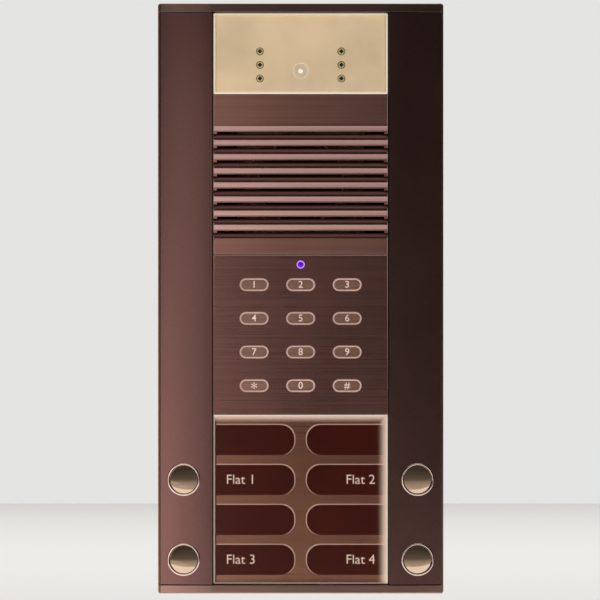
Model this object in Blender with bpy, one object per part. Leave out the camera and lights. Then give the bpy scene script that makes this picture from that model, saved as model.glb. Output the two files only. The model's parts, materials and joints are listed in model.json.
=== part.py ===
"""Surface-mounted door intercom panel, modelled as the pieces that it comes apart into.

Metres, +Z up. The wall is the plane y = 0 and the front faces -Y, so a depth is a negative y.
The origin is the middle of the wall plate's rear face.
"""

import math

import bmesh
import bpy
from mathutils import Matrix, Vector

MM = 0.001
GAP = 0.3 * MM

# The whole panel.
WIDTH = 135.0 * MM
HEIGHT = 279.0 * MM
DEPTH = 24.0 * MM

# Wall plate and rear housing.
PLATE_T = 1.5 * MM
PLATE_W = 118.0 * MM
PLATE_H = 256.0 * MM
FLOOR_BACK = 2.0 * MM
FLOOR_FRONT = 3.6 * MM
RIM_T = 0.6 * MM
RIM_BACK = 0.4 * MM
RIM_FRONT = 6.0 * MM
TONGUE_Z = 118.0 * MM
TONGUE_X = 30.0 * MM
CABLE_Z = -112.0 * MM
CABLE_W = 30.0 * MM
CABLE_H = 20.0 * MM
CABLE_CORNER = 3.0 * MM
SCREW_TAB_Z = -128.5 * MM
PLATE_CORNER = 4.0 * MM
TONGUE_HALF_W = 4.0 * MM
TAB_HALF_W = 5.0 * MM
TAB_HALF_T = 1.0 * MM
TAB_FRONT = 13.5 * MM
SLOT_W = 9.0 * MM
SLOT_D = 4.6 * MM
SLOT_X = 44.0 * MM
SLOT_Z = 96.0 * MM
POST_X = 60.0 * MM
POST_R = 2.2 * MM
SIDES = (-1, 1)

# Side profiles and end caps.
BODY_HALF_W = 66.6 * MM
BODY_BACK = 4.0 * MM
WING_INNER = 41.6 * MM
WING_RADIUS = 112.0 * MM
WING_INNER_SLOPE = math.radians(1.5)
WING_WALL = 2.0 * MM
WING_WEB = 1.5 * MM
WING_WEB_BACK = 7.0 * MM
EDGE_ROUND = 1.0 * MM
CAP_INNER = 134.9 * MM
CAP_OUTER = 138.6 * MM
PROFILE_HALF_H = CAP_INNER - GAP
ARC_STEPS = 8

# Centre column, as half width, face depth and plate thickness.
COLUMN_HALF_W = 41.0 * MM
COLUMN_FRONT = 22.8 * MM
COLUMN_T = 2.2 * MM
COLUMN_BACK = COLUMN_FRONT - COLUMN_T
WINDOW_TOP = 134.3 * MM
GRILLE_TOP = 96.0 * MM
KEYPAD_TOP = 20.6 * MM
NAMES_TOP = -54.7 * MM
COLUMN_BOTTOM = -134.3 * MM

# Chassis between the profiles.
CHASSIS_HALF_W = 41.2 * MM
CHASSIS_BACK = FLOOR_FRONT + GAP
CHASSIS_T = 1.2 * MM
CHASSIS_FRONT = COLUMN_BACK - GAP
CHASSIS_HALF_H = 133.8 * MM
FLANGE_T = 1.0 * MM

# Boards on the chassis and behind the wings.
BOARD_T = 1.6 * MM
MAIN_BOARD_BACK = 7.6 * MM
MAIN_BOARD_POSTS = (-88.0 * MM, 10.0 * MM)
CHIP_DEPTH = 1.6 * MM
SWITCH_BOARD_BACK = 9.0 * MM
SWITCH_FRONT = 15.0 * MM
TERMINALS = 8
TERMINAL_PITCH = 5.8 * MM
TERMINAL_Z = -84.0 * MM

# Security screw, from below through the lower cap and the chassis into the wall plate's tab.
SCREW_DEPTH = 10.0 * MM
SCREW_HEAD_R = 3.0 * MM
SCREW_SHANK_R = 1.5 * MM
SCREW_HOLE_R = 1.8 * MM
SCREW_TOP = -125.5 * MM

# Speaker grille: leaning ridges, with a sound slot and a hollow that runs out to the face under each.
RIDGES = 8
RIDGE_PITCH = 6.65 * MM
RIDGE_H = 2.7 * MM
RIDGE_TOP_FRONT = 23.7 * MM
RIDGE_FOOT_FRONT = 22.6 * MM
RIDGE_TOP = 81.2 * MM
HOLLOW = 1.2 * MM
HOLLOW_STEPS = 4
GROOVE_FLOOR = 19.4 * MM
GRILLE_BACK = 18.0 * MM
SLOT_H = 1.0 * MM
SLOT_HALF_W = 30.0 * MM
GRILLE_SIDE = 39.6 * MM

# Loudspeaker and microphone.
SPEAKER_Z = 55.3 * MM
SPEAKER_R = 24.0 * MM
MICROPHONE_X = 31.0 * MM
MICROPHONE_Z = 35.0 * MM

# Camera behind the window. The eyeball turns about its own centre.
EYE_Z = 107.4 * MM
EYE_R = 5.0 * MM
EYE_CENTRE = 15.3 * MM
EYE_FRAME = 7.2 * MM
EYE_RING_OUTER = 6.5 * MM
EYE_RING_INNER = 5.3 * MM
EYE_PIN_R = 0.5 * MM
LENS_SEAT_R = 1.1 * MM
MASK_HALF_W = 39.8 * MM
MASK_FRONT = 19.0 * MM
MASK_BACK = 18.5 * MM
LED_X = 19.2 * MM
LED_Z = (116.5 * MM, 110.1 * MM, 103.7 * MM)
LED_R = 1.6 * MM
LED_BOARD_FRONT = 16.4 * MM

# Keypad.
KEY_COLUMNS = 3
KEY_PITCH_X = 21.9 * MM
KEY_PITCH_Z = 15.85 * MM
KEY_TOP_Z = 6.5 * MM
KEY_W = 13.2 * MM
KEY_H = 5.6 * MM
KEY_PROUD = 0.2 * MM
KEY_FLANGE = 0.8 * MM
KEY_NAMES = ("1", "2", "3", "4", "5", "6", "7", "8", "9", "star", "0", "hash")
STATUS_Z = 16.0 * MM
STATUS_R = 1.9 * MM
MAT_BACK = 16.4 * MM
KEYPAD_BOARD_FRONT = MAT_BACK - GAP
STUD_X = 37.0 * MM
STUD_Z = (-48.0 * MM, 14.0 * MM)

# Name field: four rows of two cards, each with a square outer and a round inner end.
NAME_ROWS = 4
NAME_TOP_Z = -66.4 * MM
NAME_PITCH = 18.83 * MM
NAME_H = 14.6 * MM
NAME_OUTER = 39.8 * MM
NAME_INNER = 2.5 * MM
NAME_CORNER = 6.6 * MM
CARD_FRONT = COLUMN_BACK - GAP
CARD_BACK = 19.7 * MM
GUIDE_FRONT = CARD_BACK - GAP
GUIDE_BACK = 16.4 * MM

# Call buttons, on the second and fourth name rows, square to the sloping wings.
CALL_X = 55.1 * MM
CALL_ROWS = (1, 3)
CALL_HOLE_R = 7.5 * MM
CALL_RING_R = 7.75 * MM
CALL_BORE_R = 6.85 * MM
CALL_FACE_R = 6.6 * MM
CALL_DOME = 1.3 * MM
ROUND_STEPS = 24
DOME_STEPS = 3


def wing_centre():
    """Centre of the arc that the right wing's face follows, in x and y."""
    return (
        WING_INNER - WING_RADIUS * math.sin(WING_INNER_SLOPE),
        -DEPTH + WING_RADIUS * math.cos(WING_INNER_SLOPE),
    )


def wing_slope(x):
    """Angle of the right wing's face to the wall at x."""
    return math.asin((x - wing_centre()[0]) / WING_RADIUS)


def wing_y(x, inset=0.0):
    """Depth of the right wing's face at x, or of a face inset from it."""
    reach = WING_RADIUS - inset
    return wing_centre()[1] - math.sqrt(reach**2 - (x - wing_centre()[0]) ** 2)


def clear_scene():
    for found in list(bpy.data.objects):
        bpy.data.objects.remove(found, do_unlink=True)


def material(name, colour, roughness, metallic=0.0):
    made = bpy.data.materials.new(name)
    made.use_nodes = True
    shader = made.node_tree.nodes["Principled BSDF"]
    shader.inputs["Base Color"].default_value = (*colour, 1.0)
    shader.inputs["Roughness"].default_value = roughness
    shader.inputs["Metallic"].default_value = metallic
    return made


def make_materials():
    return {
        "anodised": material("anodised_bronze", (0.16, 0.09, 0.075), 0.38, 0.9),
        "brushed": material("brushed_bronze", (0.20, 0.11, 0.09), 0.32, 0.9),
        "polished": material("polished_bronze", (0.30, 0.21, 0.13), 0.12, 1.0),
        "steel": material("galvanised_steel", (0.45, 0.44, 0.42), 0.45, 0.9),
        "housing": material("dark_moulding", (0.05, 0.04, 0.04), 0.6),
        "window": material("cream_window", (0.66, 0.52, 0.36), 0.08),
        "clear": material("clear_acrylic", (0.80, 0.66, 0.52), 0.06),
        "card": material("dark_card", (0.035, 0.008, 0.004), 0.35),
        "rubber": material("silicone_rubber", (0.12, 0.11, 0.11), 0.8),
        "board": material("circuit_board", (0.02, 0.09, 0.05), 0.5),
        "cone": material("speaker_cone", (0.03, 0.03, 0.03), 0.85),
        "lamp": material("violet_lamp", (0.30, 0.02, 0.80), 0.2),
        "lens": material("lens_glass", (0.80, 0.76, 0.68), 0.05),
    }


def place(u, v, depth, axis):
    """A point of an outline drawn square to an axis, at a depth along that axis."""
    if axis == "X":
        return Vector((depth, u, v))
    if axis == "Y":
        return Vector((u, depth, v))
    return Vector((u, v, depth))


def prism(bm, outline, axis, low, high):
    """Adds an outline extruded along an axis."""
    corners = [bm.verts.new(place(u, v, low, axis)) for u, v in outline]
    face = bm.faces.new(corners)
    grown = bmesh.ops.extrude_face_region(bm, geom=[face])["geom"]
    moved = [item for item in grown if isinstance(item, bmesh.types.BMVert)]
    bmesh.ops.translate(bm, verts=moved, vec=place(0.0, 0.0, high - low, axis))


def box(bm, x, y, z):
    """Adds a box between three pairs of limits."""
    prism(bm, [(x[0], y[0]), (x[1], y[0]), (x[1], y[1]), (x[0], y[1])], "Z", *z)


def arc(centre, radius, start, end, steps):
    """Points on an arc, with angles in degrees."""
    angles = [math.radians(start + (end - start) * i / steps) for i in range(steps + 1)]
    return [(centre[0] + radius * math.cos(a), centre[1] + radius * math.sin(a)) for a in angles]


def rounded(x, z, radius, steps=4, corners=(True, True, True, True)):
    """A rectangle with chosen corners rounded, from the lower left and turning left."""
    turns = (
        (x[0] + radius, z[0] + radius, x[0], z[0], 180),
        (x[1] - radius, z[0] + radius, x[1], z[0], 270),
        (x[1] - radius, z[1] - radius, x[1], z[1], 0),
        (x[0] + radius, z[1] - radius, x[0], z[1], 90),
    )
    outline = []
    for (u, v, corner_u, corner_v, start), is_round in zip(turns, corners):
        if is_round:
            outline += arc((u, v), radius, start, start + 90, steps)
        else:
            outline.append((corner_u, corner_v))
    return outline


def pill(width, height, x=0.0, z=0.0):
    """A bar with two half-round ends."""
    radius = height / 2
    reach = width / 2 - radius
    return arc((x + reach, z), radius, -90, 90, 4) + arc((x - reach, z), radius, 90, 270, 4)


def disc(radius, x=0.0, z=0.0, steps=ROUND_STEPS):
    return arc((x, z), radius, 0, 360 * (1 - 1 / steps), steps - 1)


def turned(bm, profile, is_ring=False, steps=ROUND_STEPS):
    """Adds a profile of (radius, y) points turned about the local Y axis."""
    verts = [bm.verts.new((radius, y, 0.0)) for radius, y in profile]
    pairs = list(zip(verts, verts[1:]))
    if is_ring:
        pairs.append((verts[-1], verts[0]))
    edges = [bm.edges.new(pair) for pair in pairs]
    axis = {"cent": (0, 0, 0), "axis": (0, 1, 0), "angle": math.tau, "steps": steps}
    bmesh.ops.spin(bm, geom=verts + edges, use_merge=True, **axis)
    bmesh.ops.remove_doubles(bm, verts=bm.verts[:], dist=1e-6)


def new_mesh(name, *shapes):
    """A mesh from shapes, each a function that adds to a bmesh."""
    bm = bmesh.new()
    for shape in shapes:
        shape(bm)
    bmesh.ops.recalc_face_normals(bm, faces=bm.faces[:])
    mesh = bpy.data.meshes.new(name)
    bm.to_mesh(mesh)
    bm.free()
    return mesh


def piece(name, finish, *shapes, location=(0.0, 0.0, 0.0), parent=None, smooth=False):
    """One named object, built about its own origin."""
    mesh = new_mesh(name, *shapes)
    mesh.materials.append(finish)
    made = bpy.data.objects.new(name, mesh)
    made.location = location
    made.parent = parent
    bpy.context.scene.collection.objects.link(made)
    if smooth:
        mesh.shade_smooth()
        mesh.set_sharp_from_angle(angle=math.radians(35))
    return made


def combine(target, operation, label, *shapes):
    """Cuts shapes from a piece, or joins them to it, with a live Boolean."""
    tool = bpy.data.objects.new(f"{target.name}_{label}", new_mesh(f"{target.name}_{label}", *shapes))
    tool.location = target.location
    tool.parent = target.parent
    tool.hide_render = True
    tool.display_type = "WIRE"
    bpy.context.scene.collection.objects.link(tool)
    modifier = target.modifiers.new(label, "BOOLEAN")
    modifier.operation = operation
    modifier.solver = "EXACT"
    modifier.object = tool


def boxes(*limits):
    """A shape function for several separate boxes."""

    def add(bm):
        for x, y, z in limits:
            box(bm, x, y, z)

    return add


def plate(outline, back, front):
    """A shape function for an outline between two depths behind the front."""
    return lambda bm: prism(bm, outline, "Y", -back, -front)


def upright(radius, low, high, depth=SCREW_DEPTH, steps=ROUND_STEPS):
    """A shape function for a round bar along Z, on the security screw's axis."""
    return lambda bm: prism(bm, disc(radius, 0.0, -depth, steps), "Z", low, high)


def both(value):
    return (-abs(value), abs(value))


def about(centre, half):
    return (centre - half, centre + half)


def make_wall_plate(finish):
    outline = rounded(both(PLATE_W / 2), both(PLATE_H / 2), PLATE_CORNER)
    steel = piece("wall_plate", finish, plate(outline, 0.0, PLATE_T))
    depths = (-(FLOOR_FRONT - GAP), -PLATE_T / 2)
    tongues = [(about(side * TONGUE_X, TONGUE_HALF_W), depths, about(TONGUE_Z, TAB_HALF_T)) for side in SIDES]
    tab = (both(TAB_HALF_W), (-TAB_FRONT, -PLATE_T / 2), about(SCREW_TAB_Z, TAB_HALF_T))
    combine(steel, "UNION", "tongues", boxes(*tongues, tab))
    slots = [pill(SLOT_W, SLOT_D, side * SLOT_X, end * SLOT_Z) for side in SIDES for end in SIDES]
    entry = rounded(both(CABLE_W / 2 + 2 * MM), about(CABLE_Z, CABLE_H / 2 + 2 * MM), CABLE_CORNER)
    holes = [plate(outline, -MM, PLATE_T + MM) for outline in (*slots, entry)]
    screw_hole = upright(SCREW_HOLE_R, *about(SCREW_TAB_Z, 3 * MM), steps=16)
    combine(steel, "DIFFERENCE", "holes", *holes, screw_hole)


def make_rear_housing(finish):
    outer = rounded(both(WIDTH / 2), both(HEIGHT / 2), 1.2 * MM)
    inner_x = WIDTH / 2 - RIM_T
    inner_z = HEIGHT / 2 - RIM_T
    tray = piece("rear_housing", finish, plate(outer, RIM_BACK, RIM_FRONT))
    ledge = 2.0 * MM
    pocket = plate(rounded(both(inner_x - ledge), both(inner_z - ledge), 1 * MM), RIM_BACK - MM, FLOOR_BACK)
    well = plate(rounded(both(inner_x), both(inner_z), 0.6 * MM), FLOOR_FRONT, RIM_FRONT + MM)
    combine(tray, "DIFFERENCE", "hollows", pocket, well)
    posts = []
    for side in SIDES:
        for row in CALL_ROWS:
            outline = disc(POST_R, side * POST_X, name_row_z(row) - 6 * MM, 12)
            posts.append(plate(outline, FLOOR_FRONT - MM / 2, SWITCH_BOARD_BACK - GAP))
    combine(tray, "UNION", "posts", *posts)
    floor = (FLOOR_BACK - MM, FLOOR_FRONT + MM)
    entry = plate(rounded(both(CABLE_W / 2), about(CABLE_Z, CABLE_H / 2), CABLE_CORNER), *floor)
    depths = (-floor[1], -floor[0])
    clear = 0.5 * MM
    slot_w = TONGUE_HALF_W + clear
    slots = [(about(side * TONGUE_X, slot_w), depths, about(TONGUE_Z, TAB_HALF_T + clear)) for side in SIDES]
    tab = (both(TAB_HALF_W + clear), depths, about(SCREW_TAB_Z, TAB_HALF_T + clear))
    combine(tray, "DIFFERENCE", "openings", entry, boxes(*slots, tab))


def name_row_z(row):
    return NAME_TOP_Z - row * NAME_PITCH


def face_arc(side, first, last, inset=0.0):
    """Points along a wing's face between two distances from the middle, on the side -1 or 1."""
    distances = [first + (last - first) * i / ARC_STEPS for i in range(ARC_STEPS + 1)]
    return [(side * x, wing_y(x, inset)) for x in distances]


def outer_corner(side):
    """The rounded edge between a wing's face and its side, from the face."""
    edge_y = wing_y(BODY_HALF_W - EDGE_ROUND)
    corner = arc((BODY_HALF_W - EDGE_ROUND, edge_y + EDGE_ROUND), EDGE_ROUND, -76, 0, 4)
    return [(side * x, y) for x, y in corner]


def profile_outline(side):
    """Section of a side profile: curved face, side wall and inner web, open to the rear."""
    inner_edge = WING_INNER + 0.5 * MM
    face = [(side * WING_INNER, wing_y(inner_edge) + 0.5 * MM)]
    face += face_arc(side, inner_edge, BODY_HALF_W - EDGE_ROUND - 0.1 * MM)
    wall_in = BODY_HALF_W - 1.8 * MM
    web_in = WING_INNER + WING_WEB
    side_wall = [(side * BODY_HALF_W, -BODY_BACK), (side * wall_in, -BODY_BACK)]
    hollow = face_arc(side, wall_in, web_in, WING_WALL)
    web = [(side * web_in, -WING_WEB_BACK), (side * WING_INNER, -WING_WEB_BACK)]
    return face + outer_corner(side) + side_wall + hollow + web


def call_frame(side, row):
    """Turned frame at a call button: origin on the wing's face, local -Y straight out of it."""
    frame = bpy.data.objects.new(f"call_axis_{'left' if side < 0 else 'right'}_{row + 1}", None)
    frame.location = (side * CALL_X, wing_y(CALL_X), name_row_z(row))
    frame.rotation_euler = (0.0, 0.0, side * wing_slope(CALL_X))
    bpy.context.scene.collection.objects.link(frame)
    return frame


def make_side_profile(side, finish):
    name = "left_profile" if side < 0 else "right_profile"
    outline = profile_outline(side)
    length = lambda bm: prism(bm, outline, "Z", -PROFILE_HALF_H, PROFILE_HALF_H)
    body = piece(name, finish, length, smooth=True)
    turn = Matrix.Rotation(side * wing_slope(CALL_X), 4, "Z")

    def drill(bm):
        for row in CALL_ROWS:
            before = set(bm.verts)
            prism(bm, disc(CALL_HOLE_R), "Y", -4 * MM, 4 * MM)
            fresh = [vert for vert in bm.verts if vert not in before]
            move = Matrix.Translation((side * CALL_X, wing_y(CALL_X), name_row_z(row))) @ turn
            bmesh.ops.transform(bm, matrix=move, verts=fresh)

    combine(body, "DIFFERENCE", "button_holes", drill)


def make_end_cap(name, sign, finish):
    right = face_arc(1, WING_INNER, BODY_HALF_W - EDGE_ROUND - 0.1 * MM) + outer_corner(1)
    outline = right + [(BODY_HALF_W, -BODY_BACK), (-BODY_HALF_W, -BODY_BACK)]
    outline += [(-x, y) for x, y in reversed(right)]
    limits = sorted((sign * CAP_INNER, sign * CAP_OUTER))
    cap = piece(name, finish, lambda bm: prism(bm, outline, "Z", *limits))
    if sign < 0:
        recess = upright(SCREW_HEAD_R + GAP, -CAP_OUTER - MM, -CAP_OUTER + 2.2 * MM)
        combine(cap, "DIFFERENCE", "screw_recess", recess)
        combine(cap, "DIFFERENCE", "screw_hole", upright(SCREW_HOLE_R, -CAP_OUTER + MM, -CAP_INNER + MM))


def make_security_screw(finish):
    """Screw along Z, with a hexagon socket in its head."""
    top = -CAP_OUTER + 2.0 * MM
    screw = piece("security_screw", finish, upright(SCREW_HEAD_R, -CAP_OUTER + 0.1 * MM, top), smooth=True)
    combine(screw, "UNION", "shank", upright(SCREW_SHANK_R, top - 0.5 * MM, SCREW_TOP))
    combine(screw, "DIFFERENCE", "socket", upright(1.2 * MM, -CAP_OUTER - MM, -CAP_OUTER + 1.4 * MM, steps=6))


def make_chassis(finish):
    back = -CHASSIS_BACK
    base = -(CHASSIS_BACK + CHASSIS_T)
    inner = CHASSIS_HALF_W - FLANGE_T
    outline = [
        (-CHASSIS_HALF_W, back),
        (CHASSIS_HALF_W, back),
        (CHASSIS_HALF_W, -CHASSIS_FRONT),
        (inner, -CHASSIS_FRONT),
        (inner, base),
        (-inner, base),
        (-inner, -CHASSIS_FRONT),
        (-CHASSIS_HALF_W, -CHASSIS_FRONT),
    ]
    chassis = piece("chassis", finish, lambda bm: prism(bm, outline, "Z", -CHASSIS_HALF_H, CHASSIS_HALF_H))
    outlines = [disc(2.5 * MM, side * 30 * MM, z, 12) for side in SIDES for z in MAIN_BOARD_POSTS]
    posts = [plate(outline, CHASSIS_BACK + 0.5 * MM, MAIN_BOARD_BACK - GAP) for outline in outlines]
    foot = (both(8 * MM), (-14 * MM, base + 0.5 * MM), (-CHASSIS_HALF_H, -CHASSIS_HALF_H + CHASSIS_T))
    combine(chassis, "UNION", "posts", *posts, boxes(foot))
    window = rounded(both(CABLE_W / 2), about(CABLE_Z, CABLE_H / 2), CABLE_CORNER)
    entry = plate(window, CHASSIS_BACK - MM, CHASSIS_BACK + 2 * MM)
    tab = (both(TAB_HALF_W + 0.5 * MM), (base - 0.5 * MM, back + 0.5 * MM), about(SCREW_TAB_Z, 1.5 * MM))
    hole = upright(SCREW_HOLE_R, -CHASSIS_HALF_H - MM, -CHASSIS_HALF_H + 2 * MM)
    combine(chassis, "DIFFERENCE", "openings", entry, boxes(tab), hole)


def make_main_board(board_finish, terminal_finish):
    front = MAIN_BOARD_BACK + BOARD_T
    outline = rounded(both(35 * MM), (-94 * MM, 17 * MM), 1.5 * MM)
    board = piece("main_board", board_finish, plate(outline, MAIN_BOARD_BACK, front))
    parts = (
        (-12 * MM, -12 * MM, 6 * MM, 6 * MM, CHIP_DEPTH),
        (14 * MM, -22 * MM, 5 * MM, 4 * MM, CHIP_DEPTH),
        (22 * MM, 4 * MM, 4 * MM, 4 * MM, 3.0 * MM),
        (-20 * MM, -48 * MM, 8 * MM, 5 * MM, 2.4 * MM),
    )
    chips = [
        (about(x, half_w), (-front - tall, -front + 0.2 * MM), about(z, half_h))
        for x, z, half_w, half_h, tall in parts
    ]
    combine(board, "UNION", "chips", boxes(*chips))
    block = (both(24 * MM), (-front - 6.0 * MM, -front - GAP), about(TERMINAL_Z, 5 * MM))
    terminal = piece("terminal_block", terminal_finish, boxes(block))
    depths = (-front - 7 * MM, -front - 2 * MM)
    middles = [(index - (TERMINALS - 1) / 2) * TERMINAL_PITCH for index in range(TERMINALS)]
    wells = [(about(x, 1.9 * MM), depths, about(TERMINAL_Z, 2.2 * MM)) for x in middles]
    combine(terminal, "DIFFERENCE", "wells", boxes(*wells))


def make_window(window_finish, mask_finish):
    outline = rounded(both(COLUMN_HALF_W), (GRILLE_TOP + GAP, WINDOW_TOP), 0.4 * MM, 2)
    piece("camera_window", window_finish, plate(outline, COLUMN_BACK, COLUMN_FRONT))
    inner = rounded(both(MASK_HALF_W), (GRILLE_TOP + 0.7 * MM, WINDOW_TOP - 0.8 * MM), 0.4 * MM, 2)
    mask = piece("camera_mask", mask_finish, plate(inner, MASK_BACK, MASK_FRONT))
    outlines = [disc(LED_R + GAP, side * LED_X, z, 16) for side in SIDES for z in LED_Z]
    holes = [plate(outline, MASK_BACK - MM, MASK_FRONT + MM) for outline in outlines]
    front_r = math.sqrt(EYE_R**2 - (MASK_FRONT - EYE_CENTRE) ** 2) + GAP
    back_r = math.sqrt(EYE_R**2 - (MASK_BACK - EYE_CENTRE) ** 2) + GAP
    flare = (back_r - front_r) / (MASK_FRONT - MASK_BACK) * MM

    def eye_hole(bm):
        before = set(bm.verts)
        ends = ((front_r - flare, -MASK_FRONT - MM), (back_r + flare, -MASK_BACK + MM))
        turned(bm, [(0.0, ends[0][1]), ends[0], ends[1], (0.0, ends[1][1])])
        fresh = [vert for vert in bm.verts if vert not in before]
        bmesh.ops.translate(bm, verts=fresh, vec=(0.0, 0.0, EYE_Z))

    combine(mask, "DIFFERENCE", "led_holes", *holes)
    combine(mask, "DIFFERENCE", "eye_hole", eye_hole)


def pin(axis, radius, low, high):
    """A shape function for a round pin along an axis through the piece's own origin."""
    return lambda bm: prism(bm, disc(radius, steps=12), axis, low, high)


def make_camera(finishes):
    """Camera eyeball in a ring: the ring turns about Z in its holder, the ball about X in the ring."""
    pivot = (0.0, -EYE_CENTRE, EYE_Z)
    wall = 1.6 * MM
    outer = both(EYE_FRAME + wall)
    holder = piece("camera_holder", finishes["housing"], boxes((outer, both(wall), outer)), location=pivot)
    leg_end = EYE_CENTRE - CHASSIS_BACK - CHASSIS_T - GAP
    leg_x = EYE_FRAME + wall / 2
    legs = [(about(side * leg_x, wall / 2), (1.0 * MM, leg_end), both(4 * MM)) for side in SIDES]
    combine(holder, "UNION", "legs", boxes(*legs))
    combine(holder, "DIFFERENCE", "opening", boxes((both(EYE_FRAME), both(3 * MM), both(EYE_FRAME))))
    combine(holder, "DIFFERENCE", "pin_holes", pin("Z", EYE_PIN_R + GAP, -11 * MM, 11 * MM))

    outer = both(EYE_RING_OUTER)
    ring = piece("camera_pan_ring", finishes["steel"], boxes((outer, both(1.2 * MM), outer)), location=pivot)
    inner = both(EYE_RING_INNER)
    combine(ring, "DIFFERENCE", "opening", boxes((inner, both(3 * MM), inner)))
    reach = (EYE_RING_OUTER - 0.5 * MM, EYE_FRAME + 1.2 * MM)
    combine(ring, "UNION", "pins", *[pin("Z", EYE_PIN_R, side * reach[0], side * reach[1]) for side in SIDES])
    combine(ring, "DIFFERENCE", "pin_holes", pin("X", EYE_PIN_R + GAP, -9 * MM, 9 * MM))

    angles = [math.radians(angle) for angle in range(20, 180, 20)]
    ball = [(EYE_R * math.sin(angle), -EYE_R * math.cos(angle)) for angle in angles]
    half_turn = [(0.0, -EYE_R), *ball, (0.0, EYE_R)]
    ball_shape = lambda bm: turned(bm, half_turn, steps=18)
    head = piece("camera_head", finishes["window"], ball_shape, location=pivot, smooth=True)
    combine(head, "UNION", "neck", pin("Y", 2.4 * MM, 3 * MM, 6 * MM))
    combine(head, "UNION", "sensor", boxes((both(3.5 * MM), (5.7 * MM, 8.7 * MM), both(3.5 * MM))))
    reach = (4.4 * MM, EYE_RING_OUTER - 0.4 * MM)
    trunnions = [pin("X", EYE_PIN_R, side * reach[0], side * reach[1]) for side in SIDES]
    combine(head, "UNION", "trunnions", *trunnions)
    combine(head, "DIFFERENCE", "lens_seat", pin("Y", LENS_SEAT_R, -6 * MM, -3.7 * MM))
    front = [(0.0, -4.85 * MM), (0.5 * MM, -4.8 * MM), (0.8 * MM, -4.6 * MM)]
    lens = [*front, (0.8 * MM, -4.0 * MM), (0.0, -4.0 * MM)]
    piece("camera_lens", finishes["lens"], lambda bm: turned(bm, lens, steps=12), location=pivot, smooth=True)


def board_legs(x, heights, front):
    """Square legs from a panel's back to the chassis, on both sides."""
    depths = (-front - 0.5 * MM, -CHASSIS_BACK - CHASSIS_T - GAP)
    return [(about(side * x, 1.2 * MM), depths, about(z, 1.2 * MM)) for side in SIDES for z in heights]


def make_led_board(finish):
    back = LED_BOARD_FRONT - BOARD_T
    outline = rounded(both(26 * MM), (98.5 * MM, 121.5 * MM), 1 * MM, 2)
    board = piece("led_board", finish, plate(outline, back, LED_BOARD_FRONT))
    outlines = [disc(LED_R, side * LED_X, z, 12) for side in SIDES for z in LED_Z]
    leds = [plate(outline, LED_BOARD_FRONT - 0.4 * MM, COLUMN_BACK - 0.5 * MM) for outline in outlines]
    combine(board, "UNION", "leds", *leds)
    combine(board, "UNION", "legs", boxes(*board_legs(23 * MM, (101 * MM, 119 * MM), back)))
    window = boxes((both(13 * MM), (-LED_BOARD_FRONT - MM, -back + MM), about(EYE_Z, 11.2 * MM)))
    combine(board, "DIFFERENCE", "camera_cutout", window)


def groove_hollow(lip, run):
    """Section of the hollow under a sound slot, which meets the face square at its foot."""
    shares = [step / HOLLOW_STEPS for step in range(HOLLOW_STEPS)]
    return [(-COLUMN_FRONT + HOLLOW * (1 - share) ** 2, lip - share * run) for share in shares]


def grille_outline():
    """Section of the speaker cover, square to X: flat ends, and a ridge, a slot and a hollow in turn."""
    bottom = KEYPAD_TOP + GAP
    points = [(-GRILLE_BACK, bottom), (-GRILLE_BACK, GRILLE_TOP), (-COLUMN_FRONT, GRILLE_TOP)]
    for index in range(RIDGES):
        top = RIDGE_TOP - index * RIDGE_PITCH
        foot = top - RIDGE_H
        lip = foot - SLOT_H - 0.3 * MM
        points += [
            (-COLUMN_FRONT, top),
            (-RIDGE_TOP_FRONT, top - 0.1 * MM),
            (-RIDGE_FOOT_FRONT, foot),
            (-GROOVE_FLOOR, foot),
            (-GROOVE_FLOOR, lip),
        ]
        points += groove_hollow(lip, lip - (top - RIDGE_PITCH))
    last = RIDGE_TOP - RIDGES * RIDGE_PITCH
    return points + [(-COLUMN_FRONT, last), (-COLUMN_FRONT, bottom)]


def make_grille(finish):
    outline = grille_outline()
    bar = lambda bm: prism(bm, outline, "X", -COLUMN_HALF_W, COLUMN_HALF_W)
    grille = piece("speaker_grille", finish, bar)
    rebates = []
    for side in SIDES:
        edge = sorted((side * GRILLE_SIDE, side * (COLUMN_HALF_W + MM)))
        rebates.append((edge, (-COLUMN_BACK, -GRILLE_BACK + MM), (KEYPAD_TOP - MM, GRILLE_TOP + MM)))
    combine(grille, "DIFFERENCE", "rebates", boxes(*rebates))
    feet = [RIDGE_TOP - index * RIDGE_PITCH - RIDGE_H for index in range(RIDGES)]
    depths = (-GROOVE_FLOOR - MM, -GRILLE_BACK + MM)
    slots = [(both(SLOT_HALF_W), depths, (foot - SLOT_H, foot - 0.1 * MM)) for foot in feet]
    combine(grille, "DIFFERENCE", "slots", boxes(*slots))


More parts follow.
